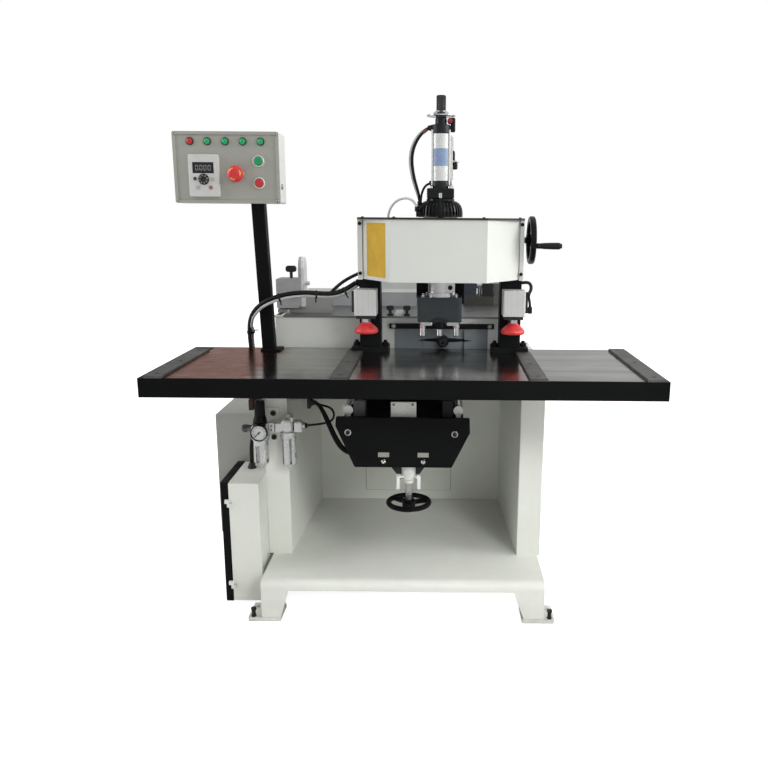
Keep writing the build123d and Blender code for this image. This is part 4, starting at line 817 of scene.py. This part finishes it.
def add_tube(pc, points, r, mat, segs=14):
    """a closed tube along points in metres; r in mm"""
    tmp = bmesh.new()
    rings = []
    for p, t, s, u in along(points):
        rings.append([tmp.verts.new(p + (s * math.cos(2 * math.pi * k / segs) + u * math.sin(2 * math.pi * k / segs)) * (r / 1000.0)) for k in range(segs)])
    for a, b in zip(rings, rings[1:]):
        for k in range(segs):
            j = (k + 1) % segs
            tmp.faces.new((a[k], a[j], b[j], b[k]))
    tmp.faces.new(rings[0])
    tmp.faces.new(rings[-1])
    pc.merge(tmp, mat)


def add_tie(pc, p, t, down, half, r, width, mat):
    """a strap round two cables that lie half a pitch either side of p, with its tail hanging out"""
    side = t.cross(down).normalized()
    tmp = bmesh.new()
    loop = []
    for k in range(20):
        a = 2 * math.pi * k / 20
        c, s = math.cos(a), math.sin(a)
        loop.append(side * (r * c) + down * (r * s + (half if s >= 0 else -half)))
    lo = [tmp.verts.new(p + (v - t * width) / 1000.0) for v in loop]
    hi = [tmp.verts.new(p + (v + t * width) / 1000.0) for v in loop]
    tmp.faces.new(lo)
    tmp.faces.new(hi)
    for k in range(20):
        j = (k + 1) % 20
        tmp.faces.new((lo[k], lo[j], hi[j], hi[k]))
    bmesh.ops.bevel(tmp, geom=list(tmp.edges), offset=0.0004, segments=1, profile=0.5, affect="EDGES")
    pc.merge(tmp, mat)
    tmp = bmesh.new()
    bmesh.ops.create_cube(tmp, size=1.0)
    bmesh.ops.scale(tmp, vec=(0.0012, 0.0034, 0.013), verts=tmp.verts)
    bmesh.ops.bevel(tmp, geom=list(tmp.edges), offset=0.0003, segments=1, profile=0.5, affect="EDGES")
    rot = Matrix((side, t, -down)).transposed().to_4x4()
    pc.merge(tmp, mat, Matrix.Translation(p + (down * (half + r + 4.0) + side * 2.0) / 1000.0) @ rot @ Matrix.Rotation(0.35, 4, "Y"))


def length_of(points):
    return sum((b - a).length for a, b in zip(points, points[1:]))


# ---- the main cable's grey companion and its ties
BELOW, BEHIND = Vector((0.0, -0.35, -1.0)).normalized(), Vector((0.7, 1.0, 0.0)).normalized()


def beside(t):
    """where the companion lies: under the cable's sloping run, behind its upright one"""
    w = min(max((abs(t.z) - 0.55) / 0.30, 0.0), 1.0)
    d = BELOW * (1.0 - w) + BEHIND * w
    return (d - t * d.dot(t)).normalized()


grey = Piece("main_cable_grey")
line = [p + beside(t) * 0.0096 for p, t, s, u in along(spline_points(MAIN))]
first = line[0]
line = [first - Vector((0, 0, 0.024)), first - Vector((0, 0, 0.012))] + line + [mm(-139, 404.0, 876.5), mm(-133, 404.5, 878)]
add_tube(grey, line, 3.6, mat_greycable)
grey.lathe("z", first.x * 1000.0, first.y * 1000.0 + YS, [(0, 496.5), (8, 496.5), (8, 501), (6.2, 503.5), (4.6, 504.5), (0, 504.5)], mat_blackplastic, 24)
grey_ob = grey.done("machine")
ties = Piece("cable_ties")
spl = along(spline_points(MAIN))
for x in (-346.0, -249.0, -178.0):
    p, t, s, u = min(spl, key=lambda f: abs(f[0].x * 1000.0 - x))
    add_tie(ties, p + beside(t) * 0.0042, t, beside(t), 4.6, 7.0, 2.2, mat_blackplastic)
for z in (560.0, 655.0, 742.0):
    p, t, s, u = min(spl[: len(spl) // 2], key=lambda f: abs(f[0].z * 1000.0 - z))
    add_tie(ties, p + beside(t) * 0.0042, t, beside(t), 4.6, 7.0, 2.2, mat_blackplastic)
ties_ob = ties.done("machine")

grey2 = Piece("head_hose_grey")
pts2 = spline_points(HOSE)
n2 = len(pts2)
line2 = []
for i, (p, t, s, u) in enumerate(along(pts2)):
    w = math.sin(math.pi * min(max((i / (n2 - 1) - 0.02) / 0.96, 0.0), 1.0)) ** 0.35
    d = Vector((-1.0, -0.25, 0.25))
    d = (d - t * d.dot(t)).normalized()
    line2.append(p + d * (0.0062 * w))
add_tube(grey2, line2[1:-1], 2.4, mat_greycable, 12)
add_tube(grey2, pts2[-9:-2], 4.9, mat_sleeve, 18)
grey2_ob = grey2.done("drill_carriage")

cord_curve("main_cable_sheath", MAIN, 12.0, mat_cable, "machine", 641.4, replaces=("main_cable",))
cord_curve("head_hose_black", HOSE, 8.0, mat_cable, "drill_carriage", 196.2, replaces=("head_hose",))
cord_curve("head_tube_white", TUBE, 6.0, mat_whitetube, "drill_carriage", 131.6, replaces=("head_air_tube",))
cord_curve("supply_hose", SUPPLY, 6.0, mat_cable, "machine", 159.8, replaces=("air_supply_hose",))
cord_curve("knee_hose_a", KNEE_A, 8.0, mat_cable, "machine", 223.0, replaces=("knee_hose_front",))
cord_curve("knee_hose_b", KNEE_B, 8.0, mat_cable, "machine", 218.8, replaces=("knee_hose_rear",))
cord_curve("cabinet_lead", CAB, 11.0, mat_cable, "machine", 115.6, replaces=("cabinet_cable",))

# short leads beside the main ones
CAP_HOSE = [(29, 334, 1093), (29.5, 334, 1106), (32, 334.5, 1119), (37, 335, 1131), (45, 335.5, 1140), (55, 336, 1143.5)]
cord_curve("cap_hose", CAP_HOSE, 6.0, mat_cable, "drill_carriage", 1000.0 * length_of(spline_points(CAP_HOSE)))
CLAMP_PIPE = [(313.5, 334, 857), (314.8, 333.8, 850), (316.4, 333.6, 842), (317.5, 333.8, 834), (318, 334, 826)]
CLAMP_ELBOW = [(296, 378, 888), (303, 377, 889), (310, 371, 890.5), (316, 361, 890), (319.5, 350.5, 886), (320.5, 342, 879), (318.5, 336.5, 871), (314, 334.5, 863)]
pc = Piece("clamp_fittings")
pc.box(303.5, 317.5, 327.5, 340.5, 855, 868, mat_blackplastic, 3.0, 3)
add_tube(pc, spline_points(CLAMP_ELBOW), 4.2, mat_blackplastic, 18)
add_tube(pc, spline_points(CLAMP_PIPE), 3.5, mat_blackplastic, 18)
pc.lathe("z", 318, 334, [(0, 811.5), (4.8, 811.5), (6.0, 813), (6.0, 826), (5.0, 829.5), (4.2, 830), (0, 830)], mat_blackplastic, 28)
pc.box(303.5, 318, 328.5, 339.5, 812.5, 823.5, mat_blackplastic, 2.5, 3)
pc.done("machine")
POST_LEAD = [(-214, 378, 857), (-206, 386, 866), (-195, 394, 876), (-181, 401, 887), (-164, 406, 897), (-147, 409, 905), (-138, 410, 909)]
cord_curve("post_lead", POST_LEAD, 9.0, mat_cable, "machine", 1000.0 * length_of(spline_points(POST_LEAD)))


# ---- air service unit
AX, AY, LX = -405.0, 323.0, -328.0
pc = Piece("air_unit")
pc.box(-427, -383, 302, 344, 466, 505, mat_cast, 5.5, 3)
pc.lathe("z", AX, AY, [(0, 504), (19.8, 504), (20.4, 505.5), (20.2, 509.5), (19.2, 511), (0, 511)], mat_blackplastic, 48)
pc.lathe("x", AY, 495, [(0, -447), (6, -447), (6, -454), (8.6, -454), (9.2, -453.2), (9.2, -424), (0, -424)], mat_darksteel, 32)
pc.hexa("x", AY, 495, -451.5, -440, 21, mat_darksteel, 0.0, 0.8)
pc.box(-387, -380.6, 309, 337, 488.5, 511.5, mat_cast, 1.2)
pc.box(-379, -364, 306.5, 339, 486.5, 513.5, mat_cast, 2.0, 3)
pc.box(-362.4, -345, 309, 337, 488.5, 511.5, mat_cast, 1.2)
pc.box(-382, -343, 313, 333, 491, 509, mat_bolt, 0.8)
for z in (494.5, 506.0):
    pc.socket_screw("y", -371.5, z, 306.5, 304.3, 3.3, mat_zinc)
pc.lathe("z", -329.5, AY, [(0, 487), (17.2, 487), (18.2, 488.5), (18.2, 517.5), (17, 519.5), (0, 519.5)], mat_cast, 44)
pc.box(-346, -337, 309, 337, 490, 516, mat_cast, 1.5)
for z in (491.0, 515.0):
    pc.lathe("z", -329.5, AY, [(0, z - 1.1), (18.9, z - 1.1), (19.3, z), (18.9, z + 1.1), (0, z + 1.1)], mat_cast, 44)
pc.box(-316, -309, 312, 334, 491, 516, mat_bolt, 0.8)
pc.box(-311, -289.5, 308, 338, 488.5, 515, mat_cast, 2.6, 3)
for x in (-307.0, -300.5, -294.0):
    pc.box(x - 1.7, x + 1.7, 310, 336, 514, 518.0, mat_cast, 1.0)
pc.box(-320.5, -313.5, 309, 327, 517.5, 528.5, mat_cast, 1.4)
pc.hexa("x", AY, 503, -290.5, -283, 17.5, mat_guard, 30.0, 0.7)
pc.lathe("x", AY, 503, [(0, -284), (7, -284), (7, -279.5), (6, -277.5), (4.4, -277.2), (0, -277.2)], mat_blackplastic, 28)
pc.lathe("z", -324, AY, [(0, 518.5), (10.5, 518.5), (10.5, 523), (8.8, 524.5), (8.8, 530.5), (7.2, 534.5), (4, 536.6), (0, 537)], mat_clear, 32)
pc.lathe("z", -324, AY, [(0, 519), (2.2, 519), (2.2, 529), (1.0, 531), (0, 531)], mat_zinc, 16)
pc.box(-392, -358, 353, 357, 450, 545, mat_white, 1.6)
pc.box(-385, -363, 336, 354, 491, 509, mat_cast, 1.2)
for z in (530.0, 462.0):
    pc.lathe("y", -375, z, [(0, 353.2), (9, 353.2), (9, 352), (0, 352)], mat_zinc, 28)
    pc.socket_screw("y", -375, z, 352, 345.5, 6.4, mat_bolt)
# pressure gauge
pc.lathe("y", -402, 490, [(0, 302.5), (20, 302.5), (22.4, 300.5), (23, 298), (23, 288), (22.4, 286.4), (21, 286), (20.2, 286.8), (20.0, 290.6), (0, 290.6)], mat_gloss, 56)
pc.lathe("y", -402, 490, [(0, 290.7), (19.8, 290.7), (19.8, 290.2), (0, 290.2)], mat_dial, 56)
for k in range(28):
    a = math.radians(-135 + 10 * k)
    r0 = 14.2 if k % 3 == 0 else 15.8
    c, d = math.sin(a), math.cos(a)
    w = 0.55 if k % 3 == 0 else 0.32
    q = [(-402 + c * r0 - d * w, 490 + d * r0 + c * w), (-402 + c * 17.6 - d * w, 490 + d * 17.6 + c * w), (-402 + c * 17.6 + d * w, 490 + d * 17.6 - c * w), (-402 + c * r0 + d * w, 490 + d * r0 - c * w)]
    pc.prism("y", q, 290.3, 290.0, mat_mark)
add_sector(pc, "y", -402, 490, 13.0, 13.5, 290.3, 290.05, -45, 225, mat_mark, 40)


def bowl(pc, x, y, r, z0, z1, gaps, foot):
    """a clear bowl in a metal guard with long windows"""
    top = z1 - 17
    low = z0 + 15
    pc.lathe("z", x, y, [(0, z0), (foot, z0), (foot + 0.6, z0 + 4), (r * 0.72, z0 + 7), (r * 0.93, z0 + 11), (r, low), (r - 1.6, low), (r - 2.2, z0 + 12), (0, z0 + 9)], mat_guard, 44)
    pc.lathe("z", x, y, [(r - 1.6, top), (r, top), (r + 0.4, z1 - 6), (r + 1.8, z1 - 4), (r + 1.8, z1), (r - 1.6, z1), (r - 1.6, top)], mat_guard, 44)
    for i in range(len(gaps)):
        a = gaps[i][1]
        b = gaps[(i + 1) % len(gaps)][0]
        while b <= a:
            b += 360
        add_sector(pc, "z", x, y, r - 1.6, r, low - 0.3, top + 0.3, a, b, mat_guard, max(4, int((b - a) / 8)))
    pc.lathe("z", x, y, [(0, z0 + 10), (r - 3.5, z0 + 12), (r - 2.1, low), (r - 2.1, z1 - 1), (0, z1 - 1)], mat_clear, 40)
    pc.lathe("z", x, y, [(0, z0 + 20), (r * 0.42, z0 + 20), (r * 0.42, z1 - 20), (r * 0.5, z1 - 16), (r * 0.5, z1 - 3), (0, z1 - 3)], mat_dial, 28)
    pc.lathe("z", x, y, [(0, z0 + 17), (r * 0.66, z0 + 17.5), (r * 0.66, z0 + 19.5), (0, z0 + 20.5)], mat_mark, 28)
    pc.lathe("z", x, y, [(0, z0 - 5), (2.6, z0 - 5), (3.2, z0 - 4), (3.2, z0 - 1), (foot * 0.8, z0), (0, z0 + 1)], mat_guard, 24)


bowl(pc, AX, AY, 20.0, 386.0, 466.0, [(-128, -92), (-38, -6), (60, 100), (160, 200)], 6.0)
bowl(pc, LX, AY, 20.4, 383.0, 487.0, [(-160, -126), (-80, -62), (20, 60), (110, 150)], 5.0)
# hose valve under the table
pc.box(-277, -235, 287, 335, 622, 694, mat_blackplastic, 2.5)
pc.box(-272, -240, 285, 290, 634, 676, mat_capgrey, 1.5)
pc.box(-271, -263, 291, 338, 558, 623, mat_blackplastic, 1.6)
for y, z in ((300.5, 577), (314.5, 573), (330, 565)):
    pc.lathe("x", y, z, [(0, -264), (6.6, -264), (6.6, -259.5), (5.8, -258.5), (5.8, -256.4), (4.8, -255.6), (0, -255.6)], mat_blackplastic, 24)
pc.done("machine", ("air_service_unit",))

# adjusting knob, ribbed for the fingers
mat_knob = plain("knob_black", (0.0050, 0.0052, 0.0056), 0.42, 0.0, tone=0.15, tone_scale=40.0, peel=0.12, peel_scale=700.0, radius=0.5, spec=0.16)
pc = Piece("regulator_grip")
ribs = []
for k in range(72):
    r = 14.0 if k % 3 else 13.3
    ribs.append((AX + r * math.cos(math.radians(5 * k)), AY + r * math.sin(math.radians(5 * k))))
pc.prism("z", ribs, 531.5, 566.0, mat_knob, 0.0)
pc.lathe("z", AX, AY, [(0, 512.6), (18.2, 512.6), (18.9, 513.6), (18.9, 515.6), (17.6, 519.5), (14.6, 530.5), (13.8, 532.5), (0, 532.5)], mat_knob, 56)
pc.lathe("z", AX, AY, [(0, 565.0), (13.8, 565.0), (13.6, 569.5), (12.4, 572.6), (9.6, 574.0), (0, 574.0)], mat_knob, 48)
pc.lathe("z", AX, AY, [(0, 500), (5, 500), (5, 514), (0, 514)], mat_zinc, 24)
pc.done("regulator_knob", ("regulator_knob",))

# ---- feed cylinder
HX, HY = 79.5, 340.0
pc = Piece("feed_unit")
pc.box(45, 114, 308, 372, 1104, 1130, mat_gloss, 3.2, 3)
for dx in (-24, 24):
    for dy in (-22, 22):
        pc.socket_screw("z", HX + dx, HY + dy, 1129.8, 1136, 5.0, mat_chrome)


def ring(pc, prof, mat, segs=56):
    """a turned sleeve with the rod's bore through it"""
    pc.lathe("z", HX, HY, [(8.15, prof[0][1])] + prof + [(8.15, prof[-1][1]), (8.15, prof[0][1])], mat, segs)


ring(pc, [(26, 1129.6), (26.6, 1131), (26.6, 1143), (25.6, 1145.5), (24.6, 1146.5), (24.4, 1148.5)], mat_capgrey)
ring(pc, [(24.0, 1147.5), (24.0, 1262.5)], mat_barrel)
ring(pc, [(23.2, 1262), (24.4, 1263), (24.4, 1281.5), (22.4, 1285), (15.4, 1285.4)], mat_capgrey)
ring(pc, [(14.6, 1284), (14.6, 1298), (13.4, 1300.5), (13.4, 1303.4)], mat_capgrey)
add_sector(pc, "z", HX, HY, 23.6, 24.35, 1184.5, 1227.0, -142, -45, mat_blue, 24)
for dx, dy in ((21.5, -14.5), (21.5, 14.5), (-21.5, -14.5), (-21.5, 14.5)):
    pc.lathe("z", HX + dx, HY + dy, [(0, 1138), (2.6, 1138), (2.6, 1272), (0, 1272)], mat_barrel, 16)
pc.box(101.5, 109.5, 330, 350, 1149, 1259, mat_whitetube, 1.6, 3)
pc.box(108.8, 110.6, 336.5, 343.5, 1152, 1256, mat_mark, 0.4)
# push-in elbow with a red release ring, top right
pc.lathe("x", HY, 1274, [(0, 98), (6.2, 98), (6.2, 108), (0, 108)], mat_blackplastic, 24)
pc.box(103.5, 115.5, 333.5, 346.5, 1267.5, 1302, mat_blackplastic, 3.2, 3)
pc.lathe("y", 102.2, 1294.0, [(0, 326), (5.2, 326), (5.8, 327), (5.8, 331.5), (4.8, 332.5), (0, 332.5)], mat_red, 28)
pc.lathe("y", 102.2, 1294.0, [(0, 332), (6.6, 332), (7, 333), (7, 345), (0, 346)], mat_blackplastic, 28)
# flow control at the right
pc.lathe("x", HY, 1186, [(0, 98), (6.0, 98), (6.0, 118), (0, 118)], mat_blackplastic, 24)
pc.lathe("z", 115.5, HY, [(0, 1177), (4.2, 1177), (6.6, 1179), (7.0, 1182), (7.0, 1192), (5.0, 1194.5), (0, 1194.5)], mat_blackplastic, 28)
pc.lathe("z", 116.0, HY, [(0, 1194.3), (10.0, 1194.3), (11.0, 1195.2), (11.0, 1197.2), (9.8, 1198.4), (0, 1198.4)], mat_chrome, 36)
pc.lathe("z", 112.0, HY, [(0, 1197.5), (3.6, 1197.5), (3.6, 1216), (2.6, 1221), (1.4, 1223), (0, 1223)], mat_blackplastic, 22)
# set screw in the block's face and a plain nipple on its top
pc.box(75.6, 83.4, 304.8, 309, 1104.6, 1118.4, mat_chrome, 1.8, 3)
pc.lathe("z", 107.5, 331, [(0, 1129.6), (5.4, 1129.6), (5.4, 1135), (3.8, 1136), (3.8, 1146), (3.0, 1148), (0, 1148)], mat_chrome, 24)
# port for the long hose, top left
pc.lathe("x", 336, 1277, [(0, 60), (7.4, 60), (7.4, 53), (6.2, 51.5), (6.2, 47), (5.0, 46.2), (0, 46.2)], mat_blackplastic, 28)
pc.lathe("x", 336, 1143.5, [(0, 56), (5.4, 56), (5.4, 51.5), (4.4, 50.4), (0, 50.4)], mat_blackplastic, 24)
pc.done("drill_carriage", ("feed_cylinder",))

# ---- fasteners and plates
pc = Piece("table_screws")
for a, b, ends in ((-586, -544, (30, 190, 345)), (-167.5, -126, (30, 185, 332)), (284, 325, (30, 185, 332)), (549, 592, (30, 212, 395))):
    for y in ends:
        x = (a + b) / 2
        pc.lathe("z", x, y, [(0, 705.2), (6.2, 705.2), (6.2, 706.2), (5.6, 706.45), (3.2, 706.45), (2.8, 706.2), (2.8, 705.7), (0, 705.7)], mat_bolt, 28)
pc.done("machine")

pc = Piece("panel_screws")
for x, z in ((-584.5, 1256.5), (-332.5, 1256.5), (-584.5, 1095.5), (-332.5, 1095.5)):
    pc.slot_screw("y", x, z, 310.1, 307.6, 3.6, mat_zinc, mat_bolt, 0.4 + x * 0.01)
for x, z in ((-580, 1252), (-337, 1252), (-580, 1100), (-337, 1100)):
    pc.slot_screw("y", x, z, 389.9, 392.4, 4.0, mat_zinc, mat_bolt, 0.9)
pc.done("machine")

pc = Piece("display_digits")
for i in range(4):
    x, z, w, h, t = -535.0 + 10.4 * i, 1168.5, 7.2, 13.0, 1.4
    for x0, x1, z0, z1 in ((0.8, w - 0.8, h - t, h), (0.8, w - 0.8, 0, t), (0, t, 0.8, h / 2 - 0.5), (0, t, h / 2 + 0.5, h - 0.8), (w - t, w, 0.8, h / 2 - 0.5), (w - t, w, h / 2 + 0.5, h - 0.8)):
        pc.box(x + x0, x + x1, 304.55, 305.2, z + z0, z + z1, mat_digit, 0.12, 1)
pc.done("machine")

pc = Piece("cover_screws")
for x, z in ((-131.5, 1041), (-131.5, 912), (294.5, 1041), (294.5, 912)):
    pc.socket_screw("y", x, z, 364.1, 359.6, 4.6, mat_bolt)
for x, y in ((-128, 404), (292, 404), (-36, 262), (188, 262)):
    pc.slot_screw("z", x, y, 1056.9, 1059.3, 4.2, mat_bolt, mat_mark, 0.3)
for x, z in ((-128, 1040), (-128, 910), (292, 1040), (292, 910), (80, 1040), (80, 910)):
    pc.slot_screw("y", x, z, 430.3, 432.9, 4.2, mat_zinc, mat_bolt, 0.7)
pc.done("machine")


def face_y(x):
    return 369.6 - 1.495 * (x + 125.0)


pc = Piece("cover_yellow_plate")
nx, ny = -0.831, -0.556
pc.prism("z", [(-112 + 0.05 * nx, face_y(-112) + 0.05 * ny), (-58 + 0.05 * nx, face_y(-58) + 0.05 * ny), (-58 + 0.6 * nx, face_y(-58) + 0.6 * ny), (-112 + 0.6 * nx, face_y(-112) + 0.6 * ny)], 906.5, 1043.5, mat_yellow, 0.15, 1)
pc.done("machine")

pc = Piece("knee_tags")
for x in (-59.0, 41.0):
    pc.box(x - 14, x + 14, 165.2, 166.2, 466, 478, mat_blank, 0.4)
    for k in (-11.6, 11.6):
        pc.lathe("y", x + k, 472, [(0, 165.3), (1.2, 165.3), (1.0, 164.7), (0, 164.5)], mat_zinc, 14)
pc.done("machine")

pc = Piece("stop_plate_screws")
for x in (-33.5, 14.0):
    pc.slot_screw("y", x, 598.5, 182.1, 179.6, 3.8, mat_zinc, mat_bolt, 0.8 + x * 0.02)
pc.done("lift_carriage")

pc = Piece("head_screws")
for dx, dy in ((-43.0, -20.0), (43.0, -20.0), (-43.0, 20.0), (43.0, 20.0)):
    pc.socket_screw("z", HX + dx, HY + dy, 854.8, 861.0, 4.6, mat_chrome)
pc.done("drill_head")

pc = Piece("gear_boss")
arc = [(HX + 41.0 * math.cos(math.radians(t)), 762.0 + 41.0 * math.sin(math.radians(t))) for t in range(44, 137, 4)]
pc.prism("y", arc, 303.4, 300.8, mat_capgrey, 0.6, 1)
pc.done("drill_head")

pc = Piece("hatch_screws")
for x in (-156.0, 112.0):
    for z in (158.0, 318.0):
        pc.slot_screw("y", x, z, 800.1, 797.8, 4.0, mat_zinc, mat_bolt, 0.5 + z)
pc.done("machine")

# ---- bits by the rear bed and under the table
pc = Piece("bed_bits")
pc.lathe("z", -352, 505, [(0, 786.6), (6.0, 786.6), (6.0, 788.6), (3.8, 789.4), (3.8, 793.5), (2.8, 795.5), (1.8, 796.6), (0, 796.8)], mat_zinc, 28)
pc.box(-438, -425, 336, 352, 541, 570, mat_oxide, 1.0)
pc.box(-440, -404.5, 350, 356.6, 540, 572, mat_oxide, 1.0)
pc.done("machine")


# ------------------------------------------------------------------ light, floor, camera
def sky():
    """a soft room: brighter in front, to the right and above; plain white where the camera looks past the object"""
    w = bpy.data.worlds.new("studio")
    scene.world = w
    w.use_nodes = True
    t = w.node_tree
    t.nodes.clear()
    out = t.nodes.new("ShaderNodeOutputWorld")
    seen = t.nodes.new("ShaderNodeBackground")
    seen.inputs[0].default_value = (1, 1, 1, 1)
    seen.inputs[1].default_value = 1.0
    lit = t.nodes.new("ShaderNodeBackground")
    lit.inputs[0].default_value = (0.99, 0.995, 1.0, 1)
    co = t.nodes.new("ShaderNodeTexCoord")
    dot = t.nodes.new("ShaderNodeVectorMath")
    dot.operation = "DOT_PRODUCT"
    dot.inputs[1].default_value = SKY_TILT
    t.links.new(co.outputs["Generated"], dot.inputs[0])
    add = t.nodes.new("ShaderNodeMath")
    add.operation = "ADD"
    add.inputs[1].default_value = SKY_MEAN
    t.links.new(dot.outputs["Value"], add.inputs[0])
    t.links.new(add.outputs[0], lit.inputs[1])
    lp = t.nodes.new("ShaderNodeLightPath")
    mix = t.nodes.new("ShaderNodeMixShader")
    t.links.new(lp.outputs["Is Camera Ray"], mix.inputs[0])
    t.links.new(lit.outputs[0], mix.inputs[1])
    t.links.new(seen.outputs[0], mix.inputs[2])
    t.links.new(mix.outputs[0], out.inputs[0])


SKY_MEAN, SKY_TILT = 0.585, (0.40, -0.02, 0.02)


def area(name, at, to, size, power, col=(1, 1, 1)):
    d = bpy.data.lights.new(name, "AREA")
    d.shape = "RECTANGLE"
    d.size, d.size_y = size
    d.energy = power
    d.color = col
    ob = bpy.data.objects.new(name, d)
    scene.collection.objects.link(ob)
    ob.location = at
    ob.rotation_euler = (Vector(to) - Vector(at)).to_track_quat("-Z", "Y").to_euler()
    return ob


sky()
area("key", (3.3, -0.7, 2.3), (0.0, -0.05, 0.8), (1.8, 1.8), 66.0, (1.0, 0.995, 0.985))
area("fill", (-3.2, -0.6, 2.0), (0.0, 0.0, 0.8), (1.8, 2.2), 54.0, (0.985, 0.99, 1.0))
area("top", (0.1, 0.2, 3.2), (0.0, 0.0, 0.5), (2.4, 2.0), 4.0)
low = area("low", (1.35, -2.35, 1.8), (-0.08, 0.1, 0.08), (0.9, 0.6), 1.4)
low.data.spread = math.radians(30.0)


def floor():
    bm = bmesh.new()
    bmesh.ops.create_grid(bm, x_segments=8, y_segments=8, size=9.0)
    me = bpy.data.meshes.new("floor")
    bm.to_mesh(me)
    bm.free()
    g = Mat("pale_floor")
    n = g.noise(1.5, 3.0, 0.5)
    g.put(g.b.inputs["Base Color"], g.mix(g.span(n, 0.3, 0.7), (0.80, 0.80, 0.795), (0.83, 0.83, 0.825)))
    g.b.inputs["Roughness"].default_value = 0.85
    g.b.inputs["Specular IOR Level"].default_value = 0.0
    g.b.inputs["Emission Color"].default_value = (1, 1, 1, 1)
    lp = g.t.nodes.new("ShaderNodeLightPath")
    g.put(g.b.inputs["Emission Strength"], g.math("MULTIPLY", lp.outputs["Is Camera Ray"], 0.85))
    me.materials.append(g.m)
    ob = bpy.data.objects.new("floor", me)
    ob.location = (0, 0, -0.0005)
    scene.collection.objects.link(ob)


floor()
scene.view_settings.view_transform = "Standard"

cam_d = bpy.data.cameras.new("photo_camera")
cam = bpy.data.objects.new("photo_camera", cam_d)
scene.collection.objects.link(cam)
pitch, yaw, roll = math.radians(12.5086), math.radians(-0.0896), math.radians(0.4334)
fwd = Vector((math.sin(yaw) * math.cos(pitch), math.cos(yaw) * math.cos(pitch), -math.sin(pitch)))
right = Vector((math.cos(yaw), -math.sin(yaw), 0.0))
up = right.cross(fwd)
c_, s_ = math.cos(roll), math.sin(roll)
right, up = c_ * right + s_ * up, -s_ * right + c_ * up
rot = Matrix((right, up, -fwd)).transposed()
cam.matrix_world = Matrix.Translation(mm(78.795, -1675.549, 1058.348)) @ rot.to_4x4()
cam_d.sensor_width = 36.0
cam_d.lens = 35.752
cam_d.shift_x, cam_d.shift_y = -0.06972, 0.00316
cam_d.clip_start, cam_d.clip_end = 0.05, 60.0
scene.camera = cam
